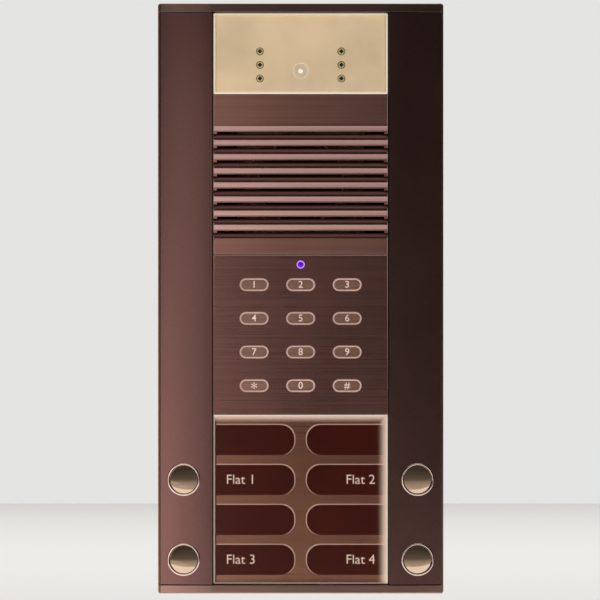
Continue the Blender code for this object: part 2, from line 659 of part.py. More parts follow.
def make_speaker(finishes):
    """Loudspeaker behind the grille, turned about its own axis along Y."""
    where = (0.0, 0.0, SPEAKER_Z)
    gasket_front = -(GRILLE_BACK - GAP)
    gasket_back = gasket_front + 1.5 * MM
    gasket_in = 20.5 * MM
    gasket = [
        (gasket_in, gasket_front),
        (SPEAKER_R, gasket_front),
        (SPEAKER_R, gasket_back),
        (gasket_in, gasket_back),
    ]
    piece("speaker_gasket", finishes["rubber"], lambda bm: turned(bm, gasket, True, 24), location=where)
    face = gasket_back + GAP
    basket = [
        (20.0 * MM, face),
        (20.0 * MM, face + 1.6 * MM),
        (12.2 * MM, face + 5.2 * MM),
        (4.6 * MM, face + 5.2 * MM),
        (4.6 * MM, face + 9.4 * MM),
        (13.6 * MM, face + 9.4 * MM),
        (13.6 * MM, face + 6.2 * MM),
        (21.2 * MM, face + 2.4 * MM),
        (21.2 * MM, face + 1.2 * MM),
        (SPEAKER_R, face + 1.2 * MM),
        (SPEAKER_R, face),
    ]
    shape = lambda bm: turned(bm, basket, True, 24)
    piece("speaker_basket", finishes["steel"], shape, location=where, smooth=True)
    cone = [
        (0.0, face + 1.4 * MM),
        (3.6 * MM, face + 2.2 * MM),
        (4.2 * MM, face + 2.9 * MM),
        (17.6 * MM, face + 0.4 * MM),
        (18.6 * MM, face - 0.3 * MM),
        (19.6 * MM, face + 0.1 * MM),
        (19.6 * MM, face + 0.7 * MM),
        (18.2 * MM, face + 0.9 * MM),
        (4.0 * MM, face + 3.6 * MM),
        (4.0 * MM, face + 6.6 * MM),
        (0.0, face + 6.6 * MM),
    ]
    shape = lambda bm: turned(bm, cone, steps=24)
    piece("speaker_cone", finishes["cone"], shape, location=where, smooth=True)


def make_microphone(finishes):
    where = (MICROPHONE_X, 0.0, MICROPHONE_Z)
    front = -(GRILLE_BACK - GAP)
    boot = [(1.0 * MM, front), (4.8 * MM, front), (4.8 * MM, front + 6 * MM), (3.4 * MM, front + 6 * MM)]
    boot += [(3.4 * MM, front + 1.2 * MM), (1.0 * MM, front + 1.2 * MM)]
    piece("microphone_boot", finishes["rubber"], lambda bm: turned(bm, boot, True, 16), location=where)
    ends = (front + 1.5 * MM, front + 5.4 * MM)
    capsule = [(0.0, ends[0]), (3.0 * MM, ends[0]), (3.0 * MM, ends[1]), (0.0, ends[1])]
    piece("microphone", finishes["steel"], lambda bm: turned(bm, capsule, steps=16), location=where)


def key_places():
    """Name, x and z of each key, row by row from the top left."""
    for index, name in enumerate(KEY_NAMES):
        row, column = divmod(index, KEY_COLUMNS)
        yield name, (column - 1) * KEY_PITCH_X, KEY_TOP_Z - row * KEY_PITCH_Z


def make_keypad_plate(finish):
    outline = rounded(both(COLUMN_HALF_W), (NAMES_TOP + GAP, KEYPAD_TOP), 0.4 * MM, 2)
    cover = piece("keypad_plate", finish, plate(outline, COLUMN_BACK, COLUMN_FRONT))
    outlines = [disc(1.5 * MM, side * STUD_X, z, 10) for side in SIDES for z in STUD_Z]
    studs = [plate(outline, KEYPAD_BOARD_FRONT + GAP, COLUMN_BACK + 0.5 * MM) for outline in outlines]
    combine(cover, "UNION", "studs", *studs)
    holes = [
        plate(pill(KEY_W + 2 * GAP, KEY_H + 2 * GAP, x, z), COLUMN_BACK - MM, COLUMN_FRONT + MM)
        for _, x, z in key_places()
    ]
    lamp = plate(disc(STATUS_R + GAP, 0.0, STATUS_Z, 20), COLUMN_BACK - MM, COLUMN_FRONT + MM)
    combine(cover, "DIFFERENCE", "key_holes", *holes, lamp)


def make_keys(finish):
    """Keys with a collar behind the plate and a stub over the mat, each about its own face centre."""
    collar_front = COLUMN_FRONT - COLUMN_BACK + GAP
    for name, x, z in key_places():
        key = piece(
            f"key_{name}",
            finish,
            plate(pill(KEY_W, KEY_H), -collar_front - 0.4 * MM, KEY_PROUD),
            location=(x, -COLUMN_FRONT, z),
        )
        collar = plate(pill(KEY_W + 1.6 * MM, KEY_H + 1.6 * MM), -collar_front - KEY_FLANGE, -collar_front)
        combine(key, "UNION", "collar", collar)
        stub_back = -collar_front - KEY_FLANGE - 0.6 * MM
        combine(key, "UNION", "stub", plate(disc(1.5 * MM, steps=10), stub_back, -collar_front - 0.5 * MM))


def make_keypad_electrics(finishes):
    mat = piece(
        "keypad_mat",
        finishes["rubber"],
        plate(rounded(both(33 * MM), (-49 * MM, 12.5 * MM), 2 * MM, 2), MAT_BACK, MAT_BACK + 0.8 * MM),
    )

    root = -0.5 * MM
    crown = -1.6 * MM
    section = [(0.0, root), (2.6 * MM, root), (1.8 * MM, crown), (0.0, crown)]

    def domes(bm):
        for _, x, z in key_places():
            before = set(bm.verts)
            turned(bm, section, steps=10)
            fresh = [vert for vert in bm.verts if vert not in before]
            bmesh.ops.translate(bm, verts=fresh, vec=(x, -MAT_BACK, z))

    combine(mat, "UNION", "domes", domes)
    board = rounded(both(39 * MM), (-52 * MM, 19 * MM), 1 * MM, 2)
    piece("keypad_board", finishes["board"], plate(board, KEYPAD_BOARD_FRONT - BOARD_T, KEYPAD_BOARD_FRONT))
    face = -(COLUMN_FRONT + 0.2 * MM)
    dome = [(0.0, face - 0.3 * MM), (1.2 * MM, face - 0.2 * MM), (STATUS_R, face)]
    lamp = [*dome, (STATUS_R, -MAT_BACK), (0.0, -MAT_BACK)]
    piece(
        "status_led",
        finishes["lamp"],
        lambda bm: turned(bm, lamp, steps=20),
        location=(0.0, 0.0, STATUS_Z),
        smooth=True,
    )


def make_name_field(finishes):
    """Clear cover, eight name cards behind it and the light guide that they lie on."""
    outline = rounded(both(COLUMN_HALF_W), (COLUMN_BOTTOM, NAMES_TOP), 0.4 * MM, 2)
    piece("nameplate_cover", finishes["clear"], plate(outline, COLUMN_BACK, COLUMN_FRONT))
    number = 0
    for row in range(NAME_ROWS):
        z = about(name_row_z(row), NAME_H / 2)
        for side in SIDES:
            number += 1
            x = sorted((side * NAME_OUTER, side * NAME_INNER))
            corners = (side > 0, side < 0, side < 0, side > 0)
            card = rounded(x, z, NAME_CORNER, 6, corners)
            piece(f"name_card_{number}", finishes["card"], plate(card, CARD_BACK, CARD_FRONT))
    inner = rounded(both(NAME_OUTER), (COLUMN_BOTTOM + 0.5 * MM, NAMES_TOP - 0.5 * MM), 0.4 * MM, 2)
    guide = piece("light_guide", finishes["clear"], plate(inner, GUIDE_BACK, GUIDE_FRONT))
    combine(guide, "UNION", "legs", boxes(*board_legs(37.4 * MM, (-60 * MM, -130 * MM), GUIDE_BACK)))


def make_call_button(side, row, finishes):
    """Domed button in its bezel ring, both built about a frame on the wing's face."""
    label = f"{'left' if side < 0 else 'right'}_{'upper' if row == CALL_ROWS[0] else 'lower'}"
    frame = call_frame(side, row)
    lip = GAP + 0.35 * MM
    ring = [
        (CALL_BORE_R, 4.0 * MM),
        (CALL_BORE_R, -lip + 0.2 * MM),
        (CALL_BORE_R + 0.25 * MM, -lip),
        (CALL_RING_R - 0.3 * MM, -lip),
        (CALL_RING_R, -GAP),
        (CALL_HOLE_R - GAP, -GAP),
        (CALL_HOLE_R - GAP, 4.0 * MM),
    ]
    polished = finishes["polished"]
    piece(f"call_ring_{label}", polished, lambda bm: turned(bm, ring, True), parent=frame, smooth=True)
    sphere_r = (CALL_FACE_R**2 + CALL_DOME**2) / (2 * CALL_DOME)
    edge = math.asin(CALL_FACE_R / sphere_r)
    dome = []
    for step in range(DOME_STEPS + 1):
        angle = edge * step / DOME_STEPS
        dome.append((sphere_r * math.sin(angle), -CALL_DOME + sphere_r * (1 - math.cos(angle))))
    body = dome + [
        (CALL_FACE_R, 4.0 * MM + GAP),
        (7.1 * MM, 4.0 * MM + GAP),
        (7.1 * MM, 5.2 * MM),
        (2.4 * MM, 5.2 * MM),
        (2.4 * MM, 6.6 * MM),
        (0.0, 6.6 * MM),
    ]
    piece(f"call_button_{label}", polished, lambda bm: turned(bm, body), parent=frame, smooth=True)


def make_switch_board(side, finishes):
    """Board along a wing with a push switch behind each call button."""
    name = "left_switch_board" if side < 0 else "right_switch_board"
    front = SWITCH_BOARD_BACK + BOARD_T
    x = sorted((side * 46 * MM, side * 63 * MM))
    outline = rounded(x, (name_row_z(3) - 9 * MM, name_row_z(1) + 9 * MM), 1 * MM, 2)
    board = piece(name, finishes["board"], plate(outline, SWITCH_BOARD_BACK, front))
    stem_x = CALL_X - 6.6 * MM * math.sin(wing_slope(CALL_X))
    cases = [
        (about(side * stem_x, 3 * MM), (-front - 3.2 * MM, -front + 0.3 * MM), about(name_row_z(row), 3 * MM))
        for row in CALL_ROWS
    ]
    combine(board, "UNION", "switches", boxes(*cases))
    outlines = [disc(1.6 * MM, side * stem_x, name_row_z(row), 12) for row in CALL_ROWS]
    plungers = [plate(outline, front + 3 * MM, SWITCH_FRONT) for outline in outlines]
    combine(board, "UNION", "plungers", *plungers)


def main():
    clear_scene()
    finishes = make_materials()
    make_wall_plate(finishes["steel"])
    make_rear_housing(finishes["housing"])
    make_chassis(finishes["steel"])
    for side in SIDES:
        make_side_profile(side, finishes["anodised"])
        make_switch_board(side, finishes)
        for row in CALL_ROWS:
            make_call_button(side, row, finishes)
    make_end_cap("top_end_cap", 1, finishes["anodised"])
    make_end_cap("bottom_end_cap", -1, finishes["anodised"])
    make_security_screw(finishes["steel"])
    make_main_board(finishes["board"], finishes["housing"])
    make_window(finishes["clear"], finishes["window"])
    make_camera(finishes)
    make_led_board(finishes["board"])
    make_grille(finishes["brushed"])
    make_speaker(finishes)
    make_microphone(finishes)
    make_keypad_plate(finishes["brushed"])
    make_keys(finishes["lens"])
    make_keypad_electrics(finishes)
    make_name_field(finishes)


main()
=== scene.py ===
"""Looks of a wall-mounted door intercom panel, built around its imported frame.

The wall is the plane y = 0, the front faces -Y and +Z is up. All sizes are in metres.
"""

import json
import logging
import math
from collections.abc import Callable, Iterator, Sequence
from contextlib import contextmanager
from dataclasses import dataclass
from enum import Enum
from typing import Any

import bmesh
import bpy
from mathutils import Euler, Matrix, Vector


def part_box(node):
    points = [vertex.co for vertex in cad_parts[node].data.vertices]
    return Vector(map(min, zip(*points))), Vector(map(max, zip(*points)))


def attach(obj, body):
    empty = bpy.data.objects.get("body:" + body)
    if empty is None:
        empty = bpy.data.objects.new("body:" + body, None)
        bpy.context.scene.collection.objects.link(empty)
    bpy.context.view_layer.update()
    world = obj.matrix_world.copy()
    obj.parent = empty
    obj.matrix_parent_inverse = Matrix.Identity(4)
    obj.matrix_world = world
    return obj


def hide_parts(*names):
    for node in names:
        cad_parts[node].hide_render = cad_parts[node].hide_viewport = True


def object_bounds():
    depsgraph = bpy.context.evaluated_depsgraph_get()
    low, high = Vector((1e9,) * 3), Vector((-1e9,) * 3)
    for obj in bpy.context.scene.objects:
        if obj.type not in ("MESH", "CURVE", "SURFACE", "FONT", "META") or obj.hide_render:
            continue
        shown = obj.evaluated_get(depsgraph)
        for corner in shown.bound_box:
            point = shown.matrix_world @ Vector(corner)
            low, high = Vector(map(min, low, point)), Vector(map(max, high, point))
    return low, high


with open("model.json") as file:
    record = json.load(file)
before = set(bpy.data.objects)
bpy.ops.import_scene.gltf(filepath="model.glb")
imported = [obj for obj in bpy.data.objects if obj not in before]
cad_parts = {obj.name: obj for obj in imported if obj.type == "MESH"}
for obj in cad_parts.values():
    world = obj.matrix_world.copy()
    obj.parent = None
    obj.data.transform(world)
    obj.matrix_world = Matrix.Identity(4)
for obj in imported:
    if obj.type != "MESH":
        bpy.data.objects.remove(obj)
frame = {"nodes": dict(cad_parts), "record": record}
CAD_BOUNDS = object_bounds()

LOG = logging.getLogger("panel")
MM = 0.001
PAST = 1 * MM  # how far a cutting tool reaches past what it cuts
NEAR = 0.05 * MM  # how close counts as touching
WELD = 0.001 * MM  # how close two corners become one
Point = tuple[float, float, float]
Spot = tuple[float, float]
Test = Callable[[Any], bool]
Piece = bpy.types.Object


class Way(Enum):
    """A direction in the room."""

    TO_WALL = (0.0, 1.0, 0.0)
    UP = (0.0, 0.0, 1.0)
    DOWN = (0.0, 0.0, -1.0)


class Grain(Enum):
    """How the brush marks run over a metal face, as the stretch of their noise along x, y and z."""

    ACROSS = (9.0, 1200.0, 3200.0)
    ALONG = (900.0, 700.0, 18.0)
    BEAD_BLASTED = (1900.0, 1900.0, 1900.0)


class Side(Enum):
    """The two wings of the panel, as the sign of x."""

    LEFT = -1
    RIGHT = 1


# ---------------------------------------------------------------- shader tools


class Value:
    """A shader socket that takes part in Python arithmetic."""

    def __init__(self, shade: "Shade", socket: bpy.types.NodeSocket) -> None:
        """Wraps a socket.

        Args:
            shade: The material in the making that owns the socket.
            socket: An output socket that carries one number.
        """
        self.shade = shade
        self.socket = socket

    def _math(self, operation: str, first: Any, second: Any) -> "Value":
        """The result of a Math node on two values or numbers."""
        node = self.shade.node("ShaderNodeMath", {"operation": operation}, {0: first, 1: second})
        return Value(self.shade, node.outputs[0])

    def __add__(self, other: Any) -> "Value":
        """Adds."""
        return self._math("ADD", self, other)

    def __sub__(self, other: Any) -> "Value":
        """Subtracts."""
        return self._math("SUBTRACT", self, other)

    def __mul__(self, other: Any) -> "Value":
        """Multiplies."""
        return self._math("MULTIPLY", self, other)

    def at_least(self, other: Any) -> "Value":
        """The larger of two values."""
        return self._math("MAXIMUM", self, other)

    def ramp(self, low: float, high: float, start: float = 0.0, end: float = 1.0) -> "Value":
        """Eases from one level to another.

        Args:
            low: The input where the result is start.
            high: The input where the result is end.
            start: The result below low.
            end: The result above high.

        Returns:
            The eased value.
        """
        settings = {"interpolation_type": "SMOOTHSTEP"}
        if low > high:
            low, high, start, end = high, low, end, start
        node = self.shade.node("ShaderNodeMapRange", settings, {0: self, 1: low, 2: high, 3: start, 4: end})
        return Value(self.shade, node.outputs[0])


class Shade:
    """One material in the making."""

    def __init__(self, name: str) -> None:
        """Starts an empty material.

        Args:
            name: The material's name.
        """
        self.material = bpy.data.materials.new(name)
        self.material.use_nodes = True
        self.tree = self.material.node_tree
        self.tree.nodes.clear()
        self.out = self.node("ShaderNodeOutputMaterial")

    def node(
        self, kind: str, settings: dict[str, Any] | None = None, inputs: dict[Any, Any] | None = None
    ) -> Any:
        """Adds any node.

        Args:
            kind: The node's type.
            settings: The node's own settings, set first.
            inputs: Values, or links, for its sockets by name or number.

        Returns:
            The new node.
        """
        made = self.tree.nodes.new(kind)
        for key, setting in (settings or {}).items():
            setattr(made, key, setting)
        for key, given in (inputs or {}).items():
            socket = made.inputs[key]
            if isinstance(given, Value):
                given = given.socket
            if isinstance(given, bpy.types.NodeSocket):
                self.tree.links.new(given, socket)
            elif socket.type == "RGBA" and len(given) == 3:
                socket.default_value = (*given, 1.0)
            else:
                socket.default_value = given
        return made

    def place(self, scale: Point = (1.0, 1.0, 1.0)) -> bpy.types.NodeSocket:
        """Object coordinates, stretched along each axis."""
        where = self.node("ShaderNodeTexCoord").outputs["Object"]
        return self.node("ShaderNodeMapping", None, {"Vector": where, "Scale": scale}).outputs[0]

    def along(self, axis: int) -> Value:
        """The object coordinate of one axis, in metres."""
        parts = self.node("ShaderNodeSeparateXYZ", None, {0: self.place()})
        return Value(self, parts.outputs[axis])

    def noise(self, scale: Point, detail: float = 4.0, roughness: float = 0.55) -> Value:
        """Noise from 0 to 1, with a pitch along each axis in waves per metre."""
        inputs = {"Vector": self.place(scale), "Scale": 1.0, "Detail": detail, "Roughness": roughness}
        return Value(self, self.node("ShaderNodeTexNoise", None, inputs).outputs["Fac"])

    def edges(self) -> Value:
        """A mask that is 1 on sharp convex edges."""
        geometry = self.node("ShaderNodeNewGeometry").outputs["Pointiness"]
        return Value(self, geometry).ramp(0.5125, 0.6125)

    def mix(self, mask: Any, first: Any, second: Any) -> bpy.types.NodeSocket:
        """Blends two colours, where a mask of 1 shows the second."""
        node = self.node("ShaderNodeMix", {"data_type": "RGBA"}, {0: mask, 6: first, 7: second})
        return node.outputs[2]

    def bump(self, height: Value, depth: float, strength: float = 1.0) -> bpy.types.NodeSocket:
        """A bumped normal, where a height of 1 stands for a depth in metres."""
        inputs = {"Height": height, "Distance": depth, "Strength": strength}
        return self.node("ShaderNodeBump", None, inputs).outputs[0]

    def principled(self, **inputs: Any) -> Any:
        """A Principled shader, with an underscore for each space in a socket's name."""
        named = {key.replace("_", " "): given for key, given in inputs.items()}
        return self.node("ShaderNodeBsdfPrincipled", None, named)

    def finish(self, shader: Any) -> bpy.types.Material:
        """Ends the material with a shader and returns it."""
        self.tree.links.new(shader.outputs[0], self.out.inputs["Surface"])
        return self.material


# ---------------------------------------------------------------- finishes


@dataclass(frozen=True)
class Metal:
    """An anodised, brushed or plated metal with fine grain and slightly worn edges."""

    name: str
    colour: Point
    roughness: float
    grain: Grain = Grain.BEAD_BLASTED
    depth: float = 0.004 * MM
    streak: float = 0.12
    wear: float = 0.35
    coat: float = 0.0

    def build(self) -> bpy.types.Material:
        """Makes the material."""
        shade = Shade(self.name)
        grain = shade.noise(self.grain.value, 5.0, 0.6)
        cloud = shade.noise((26.0, 26.0, 19.0), 3.0)
        deep = tuple(part * (1.0 - 2.2 * self.streak) for part in self.colour)
        light = tuple(min(part * (1.0 + 2.2 * self.streak), 1.0) for part in self.colour)
        tone = shade.mix(grain.ramp(0.25, 0.75), deep, light)
        bare = tuple(min(part * 2.1 + 0.04, 1.0) for part in self.colour)
        colour = shade.mix(shade.edges() * self.wear, tone, bare)
        shader = shade.principled(
            Base_Color=colour,
            Metallic=1.0,
            Roughness=(grain - 0.5) * 0.16 + (cloud - 0.5) * 0.10 + self.roughness,
            Coat_Weight=self.coat,
            Coat_Roughness=0.18,
            Normal=shade.bump(grain, self.depth),
        )
        return shade.finish(shader)


@dataclass(frozen=True)
class Moulding:
    """Moulded plastic, rubber or paper with a fine spark-eroded texture."""

    name: str
    colour: Point
    roughness: float
    texture: float = 2200.0
    depth: float = 0.01 * MM
    coat: float = 0.0
    glow: float = 0.0
    specular: float = 0.5

    def build(self) -> bpy.types.Material:
        """Makes the material."""
        shade = Shade(self.name)
        texture = shade.noise((self.texture,) * 3, 2.0)
        cloud = shade.noise((40.0, 40.0, 40.0), 3.0)
        deep = tuple(part * 0.90 for part in self.colour)
        light = tuple(min(part * 1.08, 1.0) for part in self.colour)
        colour = shade.mix(cloud.ramp(0.3, 0.7), deep, light)
        shader = shade.principled(
            Base_Color=colour,
            Roughness=(texture - 0.5) * 0.12 + (cloud - 0.5) * 0.08 + self.roughness,
            Coat_Weight=self.coat,
            Coat_Roughness=0.04,
            Specular_IOR_Level=self.specular,
            Emission_Color=colour,
            Emission_Strength=self.glow,
            Normal=shade.bump(texture, self.depth),
        )
        return shade.finish(shader)


@dataclass(frozen=True)
class Backdrop:
    """Plain matt studio paper."""

    name: str
    colour: Point
    roughness: float = 0.9

    def build(self) -> bpy.types.Material:
        """Makes the material."""
        shade = Shade(self.name)
        fibre = shade.noise((900.0, 900.0, 900.0), 2.0)
        shader = shade.principled(
            Base_Color=self.colour,
            Roughness=(fibre - 0.5) * 0.05 + self.roughness,
            Specular_IOR_Level=0.1,
        )
        return shade.finish(shader)


@dataclass(frozen=True)
class Pane:
    """Clear acrylic: see-through inside and glossy outside, with painted highlights along its edges: glowing
    bands that stand for the light its edges catch.
    """

    name: str
    tint: Point
    edge_light_colour: Point
    low: Point
    high: Point
    haze: float = 0.01
    glow: float = 0.45
    left: float = 1.2 * MM
    right: float = 1.2 * MM
    top: float = 1.2 * MM
    bottom: float = 1.2 * MM
    rim: float = 0.8 * MM
    faint: float = 0.92
    roughness: float = 0.04

    def _band(self, shade: Shade, axis: int, edge: float, width: float, peak: float = 0.92) -> Value:
        """The painted highlight along one edge: a soft glowing band with a bright rim.

        Args:
            shade: The material in the making.
            axis: 0 for an upright edge, 2 for a level one.
            edge: Where the edge is.
            width: The band's signed width, positive where the pane lies below the edge.
            peak: Its rim's share.

        Returns:
            The band's share.
        """
        place = shade.along(axis)
        rim = math.copysign(self.rim, width)
        band = place.ramp(edge - width, edge)
        return (band * band * peak * 0.62).at_least(place.ramp(edge - rim, edge - 0.4 * rim, 0.0, peak))

    def build(self) -> bpy.types.Material:
        """Makes the material."""
        shade = Shade(self.name)
        clear = shade.node("ShaderNodeBsdfTransparent", None, {"Color": self.tint})
        # The edge colour glows: painted highlights along the edges, placed by the bands below.
        edge_light_shader = shade.principled(
            Base_Color=self.edge_light_colour, Roughness=0.35, Emission_Color=self.edge_light_colour, Emission_Strength=self.glow
        )
        scuffs = shade.noise((900.0, 900.0, 900.0), 3.0).ramp(0.66, 0.9) * 0.006
        share = self._band(shade, 0, self.high[0], self.right)
        share = share.at_least(self._band(shade, 0, self.low[0], -self.left, self.faint))
        share = share.at_least(self._band(shade, 2, self.high[2], self.top))
        share = share.at_least(self._band(shade, 2, self.low[2], -self.bottom, self.faint))
        layers = {0: share + scuffs + self.haze, 1: clear.outputs[0], 2: edge_light_shader.outputs[0]}
        body = shade.node("ShaderNodeMixShader", None, layers)
        wave = shade.noise((30.0, 30.0, 30.0), 1.0)
        sheen = {"Roughness": self.roughness, "Normal": shade.bump(wave, 0.02 * MM, 0.3)}
        gloss = shade.node("ShaderNodeBsdfAnisotropic", None, sheen)
        glance = shade.node("ShaderNodeFresnel", None, {"IOR": 1.49})
        both = {0: glance.outputs[0], 1: body.outputs[0], 2: gloss.outputs[0]}
        return shade.finish(shade.node("ShaderNodeMixShader", None, both))


@dataclass(frozen=True)
class Board:
    """Solder-masked circuit board, with copper tracks under the mask."""

    name: str = "circuit_board"

    def build(self) -> bpy.types.Material:
        """Makes the material."""
        shade = Shade(self.name)
        where = {"Vector": shade.place((260.0, 1.0, 420.0)), "Scale": 1.0}
        cells = shade.node("ShaderNodeTexVoronoi", {"feature": "DISTANCE_TO_EDGE"}, where)
        track = Value(shade, cells.outputs["Distance"]).ramp(0.09, 0.05)
        grime = shade.noise((120.0, 120.0, 120.0), 4.0)
        masked = shade.mix(grime, (0.010, 0.055, 0.030), (0.016, 0.085, 0.045))
        colour = shade.mix(track * 0.8, masked, (0.04, 0.16, 0.07))
        shader = shade.principled(
            Base_Color=colour, Roughness=grime * 0.2 + 0.28, Normal=shade.bump(track, 0.03 * MM)
        )
        return shade.finish(shader)


@dataclass(frozen=True)
class Lamp:
    """A lamp lens that glows, brighter in the middle of its dome; on the camera lens, which is no lamp, the
    glow is a painted glint.
    """

    name: str
    colour: Point
    strength: float
    roughness: float = 0.12

    def build(self) -> bpy.types.Material:
        """Makes the material."""
        shade = Shade(self.name)
        facing = shade.node("ShaderNodeLayerWeight", None, {"Blend": 0.35}).outputs["Facing"]
        speck = shade.noise((1400.0, 1400.0, 1400.0), 3.0)
        rim = tuple(min(part * 0.55, 1.0) for part in self.colour)
        colour = shade.mix(speck * 0.2, self.colour, rim)
        shader = shade.principled(
            Base_Color=colour,
            Roughness=speck * 0.08 + self.roughness,
            Emission_Color=shade.mix(facing, self.colour, rim),
            Emission_Strength=self.strength,
        )
        return shade.finish(shader)


WING = Metal("wing_anodising", (0.220, 0.112, 0.099), 0.33, Grain.BEAD_BLASTED, 0.006 * MM, 0.05, 0.0)
CAP = Metal("cap_anodising", (0.350, 0.210, 0.170), 0.32, Grain.ACROSS, 0.004 * MM, 0.05, 0.0)
GRILLE_PLATE = Metal("brushed_cover", (0.700, 0.350, 0.280), 0.34, Grain.ACROSS, 0.006 * MM, 0.035, 0.0)
PLATE = Metal("brushed_plate", (0.460, 0.225, 0.190), 0.29, Grain.ACROSS, 0.006 * MM, 0.03, 0.0)
# Painted shade: the speaker cover's grooves, a darker copy of its metal.
GROOVE_SHADE = Metal("groove_anodising", (0.200, 0.092, 0.078), 0.36, Grain.ACROSS, 0.006 * MM, 0.06, 0.0)
RIDGE = Metal("brushed_ridge", (0.318, 0.197, 0.180), 0.36, Grain.ACROSS, 0.008 * MM, 0.10, 0.30)
INLAY = Metal("key_inlay", (0.440, 0.250, 0.195), 0.42, Grain.ACROSS, 0.006 * MM, 0.12, 0.20)
POLISHED = Metal("polished_bronze", (0.600, 0.430, 0.300), 0.10, Grain.BEAD_BLASTED, 0.0003 * MM, 0.03, 0.10)
RING = Metal("polished_ring", (0.720, 0.560, 0.510), 0.20, Grain.BEAD_BLASTED, 0.0006 * MM, 0.04, 0.20)
RIM = Metal("housing_rim", (0.520, 0.360, 0.290), 0.34, Grain.ALONG, 0.004 * MM, 0.06, 0.35)
ZINC = Metal("zinc_plate", (0.520, 0.500, 0.470), 0.42, Grain.BEAD_BLASTED, 0.010 * MM, 0.10, 0.25)
SCREW = Metal("screw_steel", (0.500, 0.470, 0.430), 0.26, Grain.BEAD_BLASTED, 0.002 * MM, 0.06, 0.30)
FOIL = Metal("satin_foil", (0.700, 0.370, 0.270), 0.30, Grain.ACROSS, 0.004 * MM, 0.05, 0.0)
HOUSING = Moulding("housing_moulding", (0.060, 0.044, 0.040), 0.55)
# The cream mask glows though no lamp lights it: painted light.
CREAM_GLOW = Moulding("cream_mask", (0.725, 0.585, 0.405), 0.42, 900.0, 0.004 * MM, 0.2, 0.72)
# The camera ball glows though it is no lamp: painted light.
EYE_GLOW = Moulding("eye_moulding", (0.780, 0.700, 0.580), 0.25, 900.0, 0.002 * MM, 0.8, 0.55)
CARD = Moulding("card_film", (0.080, 0.008, 0.002), 0.42, 1500.0, 0.003 * MM, 0.0, 0.30, 0.03)
SILICONE = Moulding("silicone", (0.105, 0.098, 0.095), 0.72, 1800.0, 0.02 * MM)
CONE = Moulding("pressed_paper", (0.030, 0.028, 0.026), 0.85, 1300.0, 0.04 * MM)
# The key bodies glow though no lamp lights them: painted light that makes each key's rim a bright ring.
KEY_BODY_GLOW = Moulding("key_moulding", (0.660, 0.460, 0.400), 0.30, 1500.0, 0.003 * MM, 0.4, 0.34)
# A glowing painted highlight for chamfers: the keypad plate's top and sides and the speaker cover's sides.
EDGE_HIGHLIGHT = Moulding("cut_edge", (0.560, 0.360, 0.300), 0.35, 1500.0, 0.002 * MM, 0.2, 0.26)
# Painted shadow: near-black on the cover's back walls behind each ridge, round the sound slots.
SLOT_SHADOW = Moulding("slot_cloth", (0.006, 0.003, 0.003), 0.95, 3000.0, 0.03 * MM, 0.0, 0.0, 0.1)
LEGEND = Moulding("lit_legend", (0.780, 0.600, 0.520), 0.40, 1500.0, 0.001 * MM, 0.0, 0.45)
LETTERING = Moulding("name_lettering", (0.860, 0.690, 0.610), 0.40, 1500.0, 0.001 * MM, 0.0, 0.60)
LAMP_CASE = Moulding("lamp_case", (0.820, 0.780, 0.620), 0.22, 900.0, 0.002 * MM, 0.6, 0.25)
LAMP_CUP = Moulding("lamp_cup", (0.700, 0.640, 0.150), 0.25, 900.0, 0.002 * MM, 0.6, 0.15)
LAMP_CHIP = Moulding("lamp_chip", (0.012, 0.010, 0.008), 0.30, 900.0, 0.002 * MM, 0.5)
VIOLET = Lamp("violet_lamp", (0.075, 0.003, 0.420), 0.9)
LILAC = Lamp("lilac_rim", (0.640, 0.260, 0.900), 0.8, 0.2)
# The camera lens is no lamp: its glow is a painted glint.
LENS_GLINT = Lamp("lens_bead", (0.930, 0.900, 0.820), 0.9, 0.05)


# ---------------------------------------------------------------- modelling bench


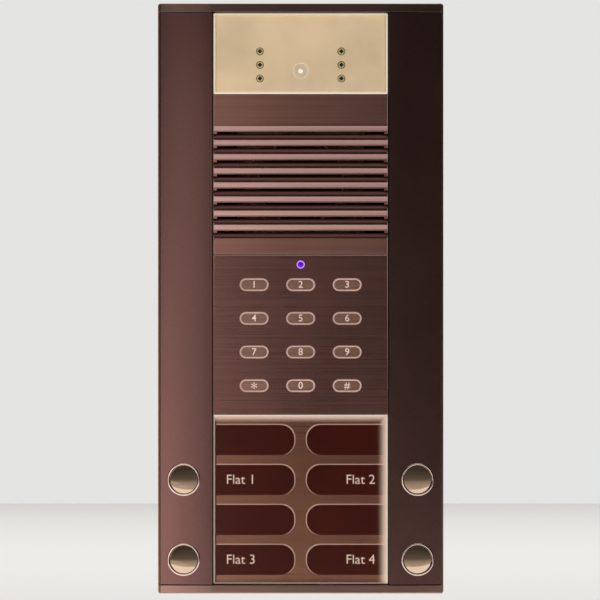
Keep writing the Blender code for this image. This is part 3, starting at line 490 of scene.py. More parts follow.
class Bench:
    """Modelling steps that every sub-assembly shares, made with Blender's own operators."""

    @staticmethod
    def take(*pieces: Piece) -> None:
        """Selects only these pieces, the last of them active."""
        bpy.ops.object.select_all(action="DESELECT")
        for piece in pieces:
            piece.select_set(True)
            bpy.context.view_layer.objects.active = piece

    @staticmethod
    def settle(name: str) -> Piece:
        """Names the active object and puts its place into its mesh.

        Args:
            name: The object's name.

        Returns:
            The object.
        """
        made = bpy.context.active_object
        made.name = name
        Bench.take(made)
        bpy.ops.object.transform_apply(location=True, rotation=True, scale=True)
        return made

    @staticmethod
    def block(name: str, low: Sequence[float], high: Sequence[float]) -> Piece:
        """A box between two corners.

        Args:
            name: The object's name.
            low: Its lowest corner.
            high: Its highest corner.

        Returns:
            The box.
        """
        low, high = Vector(low), Vector(high)
        bpy.ops.object.select_all(action="DESELECT")
        bpy.ops.mesh.primitive_cube_add(size=1.0, location=(low + high) / 2, scale=high - low)
        return Bench.settle(name)

    @staticmethod
    def rod(name: str, radius: float, start: Point, end: Point, sides: int = 48) -> Piece:
        """A round rod between two points.

        Args:
            name: The object's name.
            radius: Its radius.
            start: The middle of one end.
            end: The middle of the other end.
            sides: How many flats make it round.

        Returns:
            The rod.
        """
        path = Vector(end) - Vector(start)
        turn = path.to_track_quat("Z", "Y").to_euler()
        middle = (Vector(start) + Vector(end)) / 2
        bpy.ops.object.select_all(action="DESELECT")
        bpy.ops.mesh.primitive_cylinder_add(
            vertices=sides, radius=radius, depth=path.length, location=middle, rotation=turn
        )
        return Bench.settle(name)

    @staticmethod
    @contextmanager
    def editing(piece: Piece) -> Iterator[None]:
        """Edit mode on one piece, with everything selected."""
        Bench.take(piece)
        bpy.ops.object.mode_set(mode="EDIT")
        bpy.ops.mesh.select_all(action="SELECT")
        yield
        bpy.ops.object.mode_set(mode="OBJECT")

    @staticmethod
    def pick(piece: Piece, kind: str, test: Test) -> None:
        """Selects the verts, edges or faces that pass a test, in edit mode.

        Args:
            piece: The piece in edit mode.
            kind: VERT, EDGE or FACE.
            test: Takes one element and says whether it is wanted.
        """
        bpy.ops.mesh.select_mode(type=kind)
        bpy.ops.mesh.select_all(action="DESELECT")
        mesh = bmesh.from_edit_mesh(piece.data)
        group = {"VERT": mesh.verts, "EDGE": mesh.edges, "FACE": mesh.faces}[kind]
        for element in group:
            if test(element):
                element.select_set(True)
        mesh.select_flush_mode()
        bmesh.update_edit_mesh(piece.data)

    @staticmethod
    def pick_edges(piece: Piece, test: Test) -> None:
        """Selects the edges whose ends both pass a test of their places, in edit mode."""
        Bench.pick(piece, "EDGE", lambda edge: all(test(vert.co) for vert in edge.verts))

    @staticmethod
    def weld(close: float = WELD) -> None:
        """Joins corners that lie close together, over the whole mesh in edit mode."""
        bpy.ops.mesh.select_all(action="SELECT")
        bpy.ops.mesh.remove_doubles(threshold=close)

    @staticmethod
    def drop(*patterns: Piece) -> None:
        """Removes pieces that only served as patterns."""
        for pattern in patterns:
            bpy.data.objects.remove(pattern)

    @staticmethod
    def round_corners(piece: Piece, radius: float, steps: int, test: Test | None = None) -> None:
        """Rounds a plate's corners, the edges that run along Y.

        Args:
            piece: The plate.
            radius: The corners' radius.
            steps: How many flats make each corner.
            test: Takes the edge's middle and says whether that corner is wanted.
        """

        def wanted(edge: Any) -> bool:
            """Whether an edge runs along Y and passes the test."""
            run = edge.verts[1].co - edge.verts[0].co
            middle = (edge.verts[0].co + edge.verts[1].co) / 2
            return abs(run.y) > 0.9 * run.length and (test is None or test(middle))

        with Bench.editing(piece):
            Bench.pick(piece, "EDGE", wanted)
            bpy.ops.mesh.bevel(offset=radius, segments=steps, affect="EDGES")

    @staticmethod
    def slab(name: str, radius: float, steps: int, low: Sequence[float], high: Sequence[float]) -> Piece:
        """A box with rounded corners, the edges that run along Y.

        Args:
            name: The object's name.
            radius: The corners' radius.
            steps: How many flats make each corner.
            low: Its lowest corner.
            high: Its highest corner.

        Returns:
            The slab.
        """
        made = Bench.block(name, low, high)
        Bench.round_corners(made, radius, steps)
        return made

    @staticmethod
    def pill(name: str, centre: Spot, width: float, height: float, front: float, back: float) -> Piece:
        """A bar with half-round ends, standing along Y.

        Args:
            name: The object's name.
            centre: Its middle in x and z.
            width: Its overall width.
            height: Its height.
            front: Its front y.
            back: Its rear y.

        Returns:
            The bar.
        """
        x, z = centre
        low = (x - width / 2, front, z - height / 2)
        high = (x + width / 2, back, z + height / 2)
        return Bench.slab(name, height / 2 - WELD, 10, low, high)

    @staticmethod
    def combine(piece: Piece, operation: str, *tools: Piece) -> Piece:
        """Cuts tools from a piece or joins them to it, and removes the tools.

        Args:
            piece: The piece that is changed.
            operation: DIFFERENCE or UNION.
            *tools: The pieces that are used up.

        Returns:
            The changed piece.
        """
        for tool in tools:
            modifier = piece.modifiers.new("shape", "BOOLEAN")
            modifier.operation = operation
            modifier.object = tool
            Bench.take(piece)
            bpy.ops.object.modifier_apply(modifier=modifier.name)
            bpy.data.objects.remove(tool)
        return piece

    @staticmethod
    def soften(
        piece: Piece, width: float, steps: int = 2, angle: float = 35.0, crease: float = 14.0
    ) -> Piece:
        """Breaks the sharp edges and smooths the rest.

        Args:
            piece: The piece.
            width: The width of the broken edges, or 0 for none.
            steps: How many flats each edge gets.
            angle: The angle over which an edge is broken, in degrees.
            crease: The angle over which the shading stays sharp, in degrees.

        Returns:
            The piece.
        """
        Bench.take(piece)
        if width > 0.0:
            modifier = piece.modifiers.new("edges", "BEVEL")
            modifier.width = width
            modifier.segments = steps
            modifier.limit_method = "ANGLE"
            modifier.angle_limit = math.radians(angle)
            bpy.ops.object.modifier_apply(modifier=modifier.name)
        bpy.ops.object.shade_smooth_by_angle(angle=math.radians(crease))
        even = piece.modifiers.new("even_faces", "WEIGHTED_NORMAL")
        even.keep_sharp = True
        bpy.ops.object.modifier_apply(modifier=even.name)
        return piece

    @staticmethod
    def lathe(name: str, profile: Sequence[Spot], place: Matrix, steps: int = 72) -> Piece:
        """Turns a profile about the Y axis of a place.

        Args:
            name: The object's name.
            profile: Points as radius and y, closed on itself unless both ends are on the axis.
            place: Where the axis is.
            steps: How many flats make it round.

        Returns:
            The turned piece.
        """
        bpy.ops.object.select_all(action="DESELECT")
        bpy.ops.mesh.primitive_plane_add(size=1 * MM)
        made = Bench.settle(name)
        points = list(profile)
        if points[0][0] > 0.0:
            points.append(points[0])
        with Bench.editing(made):
            bpy.ops.mesh.merge(type="CENTER")
            bpy.ops.mesh.select_mode(type="VERT")
            bpy.ops.mesh.select_all(action="SELECT")
            bpy.ops.transform.translate(value=(*points[0], 0.0))
            for (r_from, y_from), (r_to, y_to) in zip(points, points[1:]):
                step = {"value": (r_to - r_from, y_to - y_from, 0.0)}
                bpy.ops.mesh.extrude_vertices_move(TRANSFORM_OT_translate=step)
            Bench.weld(WELD / 2)
            bpy.ops.mesh.select_all(action="SELECT")
            bpy.ops.mesh.spin(steps=steps, angle=math.tau, center=(0, 0, 0), axis=Way.TO_WALL.value)
            Bench.weld()
            bpy.ops.mesh.normals_make_consistent(inside=False)
        made.matrix_world = place
        return Bench.settle(name)

    @staticmethod
    def letters(
        name: str, text: str, size: float, place: Point, align: str = "CENTER", bold: float = 0.0
    ) -> Piece:
        """Raised lettering on a face that looks along -Y.

        Args:
            name: The object's name.
            text: The words.
            size: The height of the line.
            place: The anchor of the line, on the face.
            align: LEFT, CENTER or RIGHT.
            bold: How far the strokes are thickened on each side.

        Returns:
            The lettering as a mesh.
        """
        bpy.ops.object.select_all(action="DESELECT")
        bpy.ops.object.text_add(location=place, rotation=(math.pi / 2, 0.0, 0.0))
        made = bpy.context.active_object
        made.data.body = text
        made.data.size = size
        made.data.align_x = align
        made.data.align_y = "CENTER"
        made.data.extrude = 0.03 * MM
        made.data.offset = bold
        made.data.resolution_u = 6
        Bench.take(made)
        bpy.ops.object.convert(target="MESH")
        return Bench.settle(name)


MADE: dict[str, bpy.types.Material] = {}


def coat(finish: Any) -> bpy.types.Material:
    """The material of a finish, made once."""
    if finish.name not in MADE:
        MADE[finish.name] = finish.build()
    return MADE[finish.name]


def fit(piece: Piece, finish: Any, body: str, slot: str, *nodes: str) -> Piece:
    """Dresses a new piece and hangs it on its body.

    Args:
        piece: The piece, in place.
        finish: Its finish.
        body: The body that it rides on.
        slot: The record's material slot, not used.
        *nodes: The frame's nodes that it stands for.

    Returns:
        The piece.
    """
    piece.data.materials.clear()
    piece.data.materials.append(coat(finish))
    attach(piece, body)
    if nodes:
        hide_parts(*nodes)
    LOG.info("%s rides on %s, %d faces", piece.name, body, len(piece.data.polygons))
    return piece


def paint(piece: Piece, finish: Any, test: Test) -> None:
    """Gives a second finish to the faces that pass a test.

    Args:
        piece: A piece that has its main finish.
        finish: The second finish.
        test: Takes one face and says whether it is wanted.
    """
    piece.data.materials.append(coat(finish))
    for face in piece.data.polygons:
        if test(face):
            face.material_index = len(piece.data.materials) - 1


def dress(node: str, finish: Any) -> None:
    """Gives a carried-over node its finish.

    Args:
        node: The node's name.
        finish: Its finish.
    """
    data = frame["nodes"][node].data
    data.materials.clear()
    data.materials.append(coat(finish))
    LOG.info("%s keeps its shape, in %s", node, finish.name)


def middle_of(node: str) -> Vector:
    """The middle of a node's box."""
    low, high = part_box(node)
    return (low + high) / 2


def copy_of(piece: Piece, name: str, move: Point = (0.0, 0.0, 0.0), flip: bool = False) -> Piece:
    """Copies a bare piece, with a mesh of its own.

    Args:
        piece: The piece to copy.
        name: The copy's name.
        move: How far the copy stands from it.
        flip: Whether the copy is mirrored to the other side first.

    Returns:
        The copy.
    """
    Bench.take(piece)
    bpy.ops.object.duplicate(linked=False)
    made = bpy.context.active_object
    made.scale = (-1.0 if flip else 1.0, 1.0, 1.0)
    made.location = move
    Bench.settle(name)
    if flip:
        with Bench.editing(made):
            bpy.ops.mesh.normals_make_consistent(inside=False)
    return made


def legs(half_x: float, heights: Sequence[float], front: float, back: float) -> list[Piece]:
    """The square legs that a board stands on, a pair at each height.

    Args:
        half_x: How far each leg stands from the middle.
        heights: Their z.
        front: Their front y.
        back: Their rear y.

    Returns:
        The legs.
    """
    made = []
    for side in Side:
        for z in heights:
            x = side.value * half_x
            low = (x - 1.2 * MM, front, z - 1.2 * MM)
            made.append(Bench.block("leg", low, (x + 1.2 * MM, back, z + 1.2 * MM)))
    return made


# ---------------------------------------------------------------- outer shell


@dataclass(frozen=True)
class WingArc:
    """The arc that the right wing's face follows, seen from above."""

    start_x: float = 41.6 * MM
    front: float = -24.0 * MM
    radius: float = 112.0 * MM
    slope: float = math.radians(1.5)

    @property
    def centre(self) -> Spot:
        """The arc's centre in x and y."""
        return (
            self.start_x - self.radius * math.sin(self.slope),
            self.front + self.radius * math.cos(self.slope),
        )

    def lean(self, x: float) -> float:
        """The face's angle to the wall at x."""
        return math.asin((x - self.centre[0]) / self.radius)

    def depth(self, x: float) -> float:
        """The face's y at x."""
        return self.centre[1] - self.radius * math.cos(self.lean(x))

    def sweep(self, end_x: float, steps: int) -> None:
        """Spins the selected edge along the arc, from its start to end_x."""
        turn = self.lean(end_x) - self.slope
        centre = (*self.centre, 0.0)
        bpy.ops.mesh.spin(steps=steps, angle=-turn, center=centre, axis=Way.UP.value)


def entry_tool(wider: float, higher: float, front: float, back: float) -> Piece:
    """A rounded block that cuts the riser cable's way through a wall.

    Args:
        wider: How far it reaches past the stated opening on each side.
        higher: How far it reaches past the opening above and below.
        front: Its front y.
        back: Its rear y.

    Returns:
        The cutting tool.
    """
    openings = frame["record"]["physics"]["openings"]
    low, high = next(stated["box_m"] for stated in openings if stated["name"] == "cable_entry")
    low_corner = (low[0] - wider, front, low[2] - higher)
    tool = Bench.slab("entry", 3.0 * MM, 8, low_corner, (high[0] + wider, back, high[2] + higher))
    return tool


@dataclass
class Shell:
    """The two curved side profiles, the end caps, the rear housing and the wall plate."""

    arc: WingArc
    half_width: float = 66.6 * MM
    back: float = -4.0 * MM
    web_back: float = -7.0 * MM
    wall: float = 2.0 * MM
    edge_round: float = 1.0 * MM
    hole_x: float = 55.1 * MM
    hole_r: float = 7.5 * MM
    arc_steps: int = 32
    housing_rim: float = 0.6 * MM
    housing_floor: Spot = (-3.6 * MM, -2.0 * MM)
    plate_thick: float = 1.5 * MM
    plate_half_height: float = 128.0 * MM
    tongue_x: float = 30 * MM
    slot_place: Spot = (44 * MM, 96 * MM)

    def upright_sheet(self, name: str, back: float, low_z: float, high_z: float) -> Piece:
        """A flat sheet that stands square to X where the wing's arc starts.

        Args:
            name: The object's name.
            back: Its rear y.
            low_z: Its bottom.
            high_z: Its top.

        Returns:
            The sheet.
        """
        middle = (self.arc.start_x, (self.arc.front + back) / 2, (low_z + high_z) / 2)
        bpy.ops.object.select_all(action="DESELECT")
        bpy.ops.mesh.primitive_plane_add(size=1.0, location=middle, rotation=(0.0, math.pi / 2, 0.0))
        bpy.context.active_object.scale = (high_z - low_z, back - self.arc.front, 1.0)
        return Bench.settle(name)

    def wrap(self, shape: Piece, closed: bool = False) -> None:
        """Carries the selected edge over the wing's face and down its side.

        Args:
            shape: The piece in edit mode.
            closed: Whether the edge then runs along the back to the middle.
        """
        self.arc.sweep(self.half_width, self.arc_steps)
        side_y = self.arc.depth(self.half_width)
        runs = [(0.0, self.back - side_y, 0.0)]
        if closed:
            runs.append((-self.half_width, 0.0, 0.0))
        for run in runs:
            bpy.ops.mesh.extrude_edges_move(TRANSFORM_OT_translate={"value": run})
        Bench.weld()
        Bench.pick_edges(shape, lambda place: place.x > self.half_width - NEAR and place.y < side_y + NEAR)
        bpy.ops.mesh.bevel(offset=self.edge_round, segments=6, affect="EDGES")

    def profile(self) -> Piece:
        """The right profile: inner web, curved face and side wall, hollow at the back."""
        low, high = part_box("right_profile")
        shape = self.upright_sheet("right_wing", self.web_back, low.z, high.z)
        with Bench.editing(shape):
            Bench.pick_edges(shape, lambda place: place.y < self.arc.front + NEAR)
            self.wrap(shape)
            bpy.ops.mesh.select_all(action="SELECT")
            bpy.ops.mesh.normals_make_consistent(inside=False)
            mesh = bmesh.from_edit_mesh(shape.data)
            outward = sum(face.normal.y * face.calc_area() for face in mesh.faces)
            if outward > 0.0:
                bpy.ops.mesh.flip_normals()
        Bench.take(shape)
        solid = shape.modifiers.new("wall", "SOLIDIFY")
        solid.thickness = self.wall
        solid.offset = -1.0
        solid.use_even_offset = True
        bpy.ops.object.modifier_apply(modifier=solid.name)
        return shape

    def drill(self, shape: Piece) -> None:
        """Bores the call buttons' holes square to the right wing's face."""
        lean = self.arc.lean(self.hole_x)
        out = Vector((math.sin(lean), -math.cos(lean), 0.0)) * 6 * MM
        for row in ("upper", "lower"):
            middle = Vector((self.hole_x, self.arc.depth(self.hole_x), middle_of(f"call_ring_right_{row}").z))
            Bench.combine(shape, "DIFFERENCE", Bench.rod("bore", self.hole_r, middle - out, middle + out, 96))

    def build_wings(self) -> None:
        """Makes the right wing, then the left one as its mirror copy."""
        right = self.profile()
        self.drill(right)
        Bench.soften(right, 0.14 * MM, 2, 40.0)
        left = Bench.soften(copy_of(right, "left_wing", flip=True), 0.0, angle=40.0)
        fit(right, WING, "panel", "anodised_bronze", "right_profile")
        fit(left, WING, "panel", "anodised_bronze", "left_profile")

    def cap(self, node: str) -> Piece:
        """An end cap that follows the column's flat front and both wings.

        Args:
            node: The frame's node that it stands for.

        Returns:
            The cap.
        """
        low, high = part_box(node)
        shape = self.upright_sheet(f"{node}_shell", self.back, low.z, high.z)
        with Bench.editing(shape):
            Bench.pick_edges(shape, lambda place: place.y > self.back - NEAR)
            bpy.ops.transform.translate(value=(-self.arc.start_x, self.arc.front - self.back, 0.0))
            Bench.pick_edges(shape, lambda place: place.x > self.arc.start_x - NEAR)
            self.wrap(shape, closed=True)
        mirror = shape.modifiers.new("other_half", "MIRROR")
        mirror.merge_threshold = 5 * WELD
        Bench.take(shape)
        bpy.ops.object.modifier_apply(modifier=mirror.name)
        with Bench.editing(shape):
            bpy.ops.mesh.select_mode(type="EDGE")
            bpy.ops.mesh.select_all(action="DESELECT")
            bpy.ops.mesh.select_non_manifold()
            bpy.ops.mesh.fill_holes(sides=0)
            bpy.ops.mesh.select_all(action="SELECT")
            bpy.ops.mesh.normals_make_consistent(inside=False)
        return shape

    def build_caps(self) -> None:
        """Makes both end caps and the screw in the lower one."""
        top = self.cap("top_end_cap")
        Bench.soften(top, 0.45 * MM, 3, 40.0)
        fit(top, CAP, "panel", "anodised_bronze", "top_end_cap")
        bottom = self.cap("bottom_end_cap")
        screw_low, screw_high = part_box("security_screw")
        axis = (screw_low + screw_high) / 2
        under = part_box("bottom_end_cap")[0].z

        def bar(name: str, radius: float, start_z: float, end_z: float, sides: int) -> Piece:
            """An upright rod on the screw's axis."""
            return Bench.rod(name, radius, (axis.x, axis.y, start_z), (axis.x, axis.y, end_z), sides)

        Bench.combine(bottom, "DIFFERENCE", bar("recess", 3.3 * MM, under - PAST, under + 2.2 * MM, 64))
        Bench.combine(bottom, "DIFFERENCE", bar("hole", 1.8 * MM, under - PAST, under + 8 * MM, 48))
        Bench.soften(bottom, 0.45 * MM, 3, 40.0)
        fit(bottom, CAP, "panel", "anodised_bronze", "bottom_end_cap")
        head_top = under + 2.0 * MM
        screw = bar("hex_socket_screw", 3.0 * MM, screw_low.z, head_top, 48)
        Bench.combine(screw, "UNION", bar("shank", 1.5 * MM, head_top - 0.5 * MM, screw_high.z, 32))
        Bench.combine(screw, "DIFFERENCE", bar("hex", 1.2 * MM, under - PAST, under + 1.4 * MM, 6))
        Bench.soften(screw, 0.18 * MM, 2)
        fit(screw, SCREW, "panel", "steel", "security_screw")

    def build_housing(self) -> None:
        """Makes the moulded rear housing, a shallow tray with a thin rim."""
        low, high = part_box("rear_housing")
        front, back = self.housing_floor
        tray = Bench.slab("housing_tray", 1.2 * MM, 6, low, high)
        rim = Vector((self.housing_rim, 0.0, self.housing_rim))
        well_low, well_high = low + rim, high - rim
        well_low.y, well_high.y = low.y - PAST, front
        well = Bench.slab("well", 0.6 * MM, 4, well_low, well_high)
        lip = rim + Vector((2.0 * MM, 0.0, 2.0 * MM))
        recess_low, recess_high = low + lip, high - lip
        recess_low.y, recess_high.y = back, high.y + PAST
        recess = Bench.slab("recess", 1.0 * MM, 4, recess_low, recess_high)
        Bench.combine(tray, "DIFFERENCE", well, recess, entry_tool(3 * MM, 2 * MM, front - PAST, back + PAST))
        for side in Side:
            x = side.value * self.tongue_x
            slot_low = (x - 4.4 * MM, front - PAST, 116.6 * MM)
            tongue = Bench.block("tongue_slot", slot_low, (x + 4.4 * MM, back + PAST, 119.4 * MM))
            Bench.combine(tray, "DIFFERENCE", tongue)
        slot_low = (-5.5 * MM, front - PAST, -130 * MM)
        tab = Bench.block("tab_slot", slot_low, (5.5 * MM, back + PAST, -127 * MM))
        Bench.combine(tray, "DIFFERENCE", tab)
        self.add_spacers(tray, back)
        Bench.soften(tray, 0.16 * MM, 2)
        fit(tray, HOUSING, "panel", "dark_moulding", "rear_housing")
        paint(tray, RIM, lambda face: face.center.y < low.y + 0.3 * MM)

    def add_spacers(self, tray: Piece, floor_back: float) -> None:
        """Adds round spacers on the tray's floor, behind the switch boards."""
        for side in Side:
            for node in ("name_card_3", "name_card_7"):
                z = middle_of(node).z - 6 * MM
                start = (side.value * 60 * MM, floor_back - 1.5 * MM, z)
                end = (side.value * 60 * MM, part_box("left_switch_board")[1].y + 0.3 * MM, z)
                Bench.combine(tray, "UNION", Bench.rod("spacer", 2.2 * MM, start, end, 32))

    def build_plate(self) -> None:
        """Makes the pressed steel wall plate with its slots, tongues and screw tab."""
        low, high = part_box("wall_plate")
        thick, half_height = self.plate_thick, self.plate_half_height
        plate = Bench.slab(
            "steel_wall_plate", 4.0 * MM, 8, (low.x, -thick, -half_height), (high.x, 0.0, half_height)
        )
        slots = []
        for side in Side:
            for end in (-1, 1):
                centre = (side.value * self.slot_place[0], end * self.slot_place[1])
                slots.append(Bench.pill("slot", centre, 9 * MM, 4.6 * MM, -2 * thick, PAST))
        entry = entry_tool(5 * MM, 4 * MM, -2 * thick, PAST)
        Bench.combine(plate, "DIFFERENCE", *slots, entry)
        tongues = []
        for side in Side:
            x = side.value * self.tongue_x
            tongue_low = (x - 4 * MM, -3.3 * MM, 117 * MM)
            tongues.append(Bench.block("tongue", tongue_low, (x + 4 * MM, -thick / 2, 119 * MM)))
        tab = Bench.block("tab", (-5 * MM, -13.5 * MM, -129.5 * MM), (5 * MM, -thick / 2, -127.5 * MM))
        Bench.combine(plate, "UNION", *tongues, tab)
        thread = Bench.rod("thread", 1.9 * MM, (0, -10 * MM, -132 * MM), (0, -10 * MM, -125 * MM), 32)
        Bench.combine(plate, "DIFFERENCE", thread)
        Bench.soften(plate, 0.12 * MM, 2)
        fit(plate, ZINC, "panel", "steel", "wall_plate")

    def build(self) -> None:
        """Makes every piece of the shell."""
        self.build_wings()
        self.build_caps()
        self.build_housing()
        self.build_plate()


# ---------------------------------------------------------------- camera window


@dataclass
class CameraWindow:
    """The clear window over the cream mask, with six lamps and the swivelling camera eye."""

    chamfer: float = 0.35 * MM
    lamp_r: float = 1.55 * MM
    lamp_x: float = 19.2 * MM
    lamp_z: tuple[float, ...] = (116.5 * MM, 110.1 * MM, 103.7 * MM)
    eye_r: float = 5.0 * MM
    eye_seat_r: float = 1.1 * MM
    eye_rows: int = 40
    board_front: float = -16.4 * MM
    chip_side: float = 1.6 * MM

    @property
    def pivot(self) -> Vector:
        """The middle of the camera eye, where its two axes cross."""
        return middle_of("camera_pan_ring")

    def build_pane(self) -> None:
        """Makes the clear front pane with its chamfered edges."""
        low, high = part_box("camera_window")
        pane = Bench.slab("window_pane", 0.4 * MM, 3, low, high)
        Bench.soften(pane, self.chamfer, 2)
        # The pane's edges get painted highlights: glowing cream bands.
        tint, edge_light_colour = (0.98, 0.96, 0.93), (0.86, 0.76, 0.60)
        acrylic = Pane("window_acrylic", tint, edge_light_colour, tuple(low), tuple(high), glow=0.55, rim=1.3 * MM)
        fit(pane, acrylic, "panel", "clear_acrylic", "camera_window")

    def build_mask(self) -> None:
        """Makes the cream mask with a hole for each lamp and for the eye."""
        low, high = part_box("camera_mask")
        mask = Bench.slab("cream_mask", 0.4 * MM, 3, low, high)
        front = low.y
        hole = math.sqrt(self.eye_r**2 - (self.pivot.y - front) ** 2) + 0.35 * MM
        holes = [Bench.rod("eye_hole", hole, self.pivot + Vector((0, -8 * MM, 0)), self.pivot, 96)]
        for side in Side:
            for z in self.lamp_z:
                x = side.value * self.lamp_x
                start, end = (x, front - PAST, z), (x, front + 3 * MM, z)
                holes.append(Bench.rod("lamp_hole", self.lamp_r + 0.3 * MM, start, end, 48))
        Bench.combine(mask, "DIFFERENCE", *holes)
        Bench.soften(mask, 0.12 * MM, 2)
        # The mask's glow is painted light.
        fit(mask, CREAM_GLOW, "panel", "cream_moulding", "camera_mask")

    def build_lamps(self) -> None:
        """Makes the six lamps: a domed case in a coloured cup, with a dark square chip on edge."""
        foot = self.board_front
        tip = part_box("camera_window")[1].y + 0.5 * MM
        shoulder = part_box("camera_mask")[0].y + 0.1 * MM
        dome = [(0.0, tip), (0.6 * MM, tip + 0.08 * MM), (1.1 * MM, tip + 0.35 * MM), (1.3 * MM, shoulder)]
        case = Bench.lathe("lamp_case", [*dome, (1.3 * MM, foot), (0.0, foot)], Matrix.Identity(4), 40)
        Bench.soften(case, 0.0)
        inner, outer = 1.35 * MM, self.lamp_r
        section = [(inner, shoulder + 0.25 * MM), (outer, shoulder), (outer, foot), (inner, foot)]
        cup = Bench.lathe("lamp_cup", section, Matrix.Identity(4), 40)
        Bench.soften(cup, 0.05 * MM)
        bpy.ops.object.select_all(action="DESELECT")
        middle, turn = (0.0, tip + 0.10 * MM, 0.0), (0.0, math.pi / 4, 0.0)
        bpy.ops.mesh.primitive_cube_add(size=1.0, location=middle, rotation=turn)
        bpy.context.active_object.scale = (self.chip_side, 0.3 * MM, self.chip_side)
        chip = Bench.settle("lamp_chip")
        Bench.soften(chip, 0.06 * MM)
        number = 0
        for side in Side:
            for z in self.lamp_z:
                number += 1
                move = (side.value * self.lamp_x, 0.0, z)
                fit(copy_of(case, f"lamp_{number}_case", move), LAMP_CASE, "panel", "cream_moulding")
                fit(copy_of(cup, f"lamp_{number}_cup", move), LAMP_CUP, "panel", "cream_moulding")
                fit(copy_of(chip, f"lamp_{number}_chip", move), LAMP_CHIP, "panel", "circuit_board")
        Bench.drop(case, cup, chip)

    def build_board(self) -> None:
        """Makes the board behind the lamps, cut out round the camera."""
        front = self.board_front
        low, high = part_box("led_board")
        board_high = (26 * MM, front + 1.6 * MM, 121.5 * MM)
        board = Bench.slab("lamp_board", 1.0 * MM, 4, (-26 * MM, front, 98.5 * MM), board_high)
        cutout_low = (-13 * MM, low.y - PAST, 96.2 * MM)
        cutout = Bench.block("cutout", cutout_low, (13 * MM, high.y + PAST, 118.6 * MM))
        Bench.combine(board, "DIFFERENCE", cutout)
        Bench.combine(board, "UNION", *legs(23 * MM, (101 * MM, 119 * MM), front + 1 * MM, high.y))
        Bench.soften(board, 0.1 * MM)
        fit(board, Board(), "panel", "circuit_board", "led_board")

    def build_eye(self) -> None:
        """Makes the camera's ball, with its neck and sensor, and the lens bead in its seat."""
        radius = self.eye_r
        angles = [math.pi * step / self.eye_rows for step in range(1, self.eye_rows - 5)]
        arc = [(radius * math.sin(angle), -radius * math.cos(angle)) for angle in angles]
        neck = [(2.4 * MM, arc[-1][1]), (2.4 * MM, 5.8 * MM), (0.0, 5.8 * MM)]
        ball = Bench.lathe("camera_ball", [(0.0, -radius), *arc, *neck], Matrix.Translation(self.pivot), 72)
        seat_front = self.pivot + Vector((0.0, -6 * MM, -0.35 * MM))
        seat = Bench.rod("seat", self.eye_seat_r, seat_front, seat_front + Vector((0.0, 2.2 * MM, 0.0)), 48)
        Bench.combine(ball, "DIFFERENCE", seat)
        box_middle = self.pivot + Vector((0.0, 7.1 * MM, 0.0))
        half = Vector((3.5 * MM, 1.5 * MM, 3.5 * MM))
        sensor = Bench.block("sensor", box_middle - half, box_middle + half)
        reach = Vector((6.1 * MM, 0.0, 0.0))
        pins = Bench.rod("pins", 0.5 * MM, self.pivot - reach, self.pivot + reach, 24)
        Bench.combine(ball, "UNION", sensor, pins)
        Bench.soften(ball, 0.0, angle=30.0)
        # The ball's glow is painted light.
        fit(ball, EYE_GLOW, "camera_tilt", "cream_moulding", "camera_head")
        crown = [(0.0, -4.95 * MM), (0.45 * MM, -4.88 * MM), (0.8 * MM, -4.6 * MM)]
        lens = [*crown, (0.8 * MM, -4.0 * MM), (0.0, -4.0 * MM)]
        place = Matrix.Translation(self.pivot + Vector((0.0, 0.0, -0.35 * MM)))
        bead = Bench.lathe("lens_bead", lens, place, 40)
        Bench.soften(bead, 0.0)
        # The bead's glow is a painted glint.
        fit(bead, LENS_GLINT, "camera_tilt", "lens_glass", "camera_lens")

    def build(self) -> None:
        """Makes every piece of the window."""
        self.build_pane()
        self.build_mask()
        self.build_lamps()
        self.build_board()
        self.build_eye()


# ---------------------------------------------------------------- speaker grille


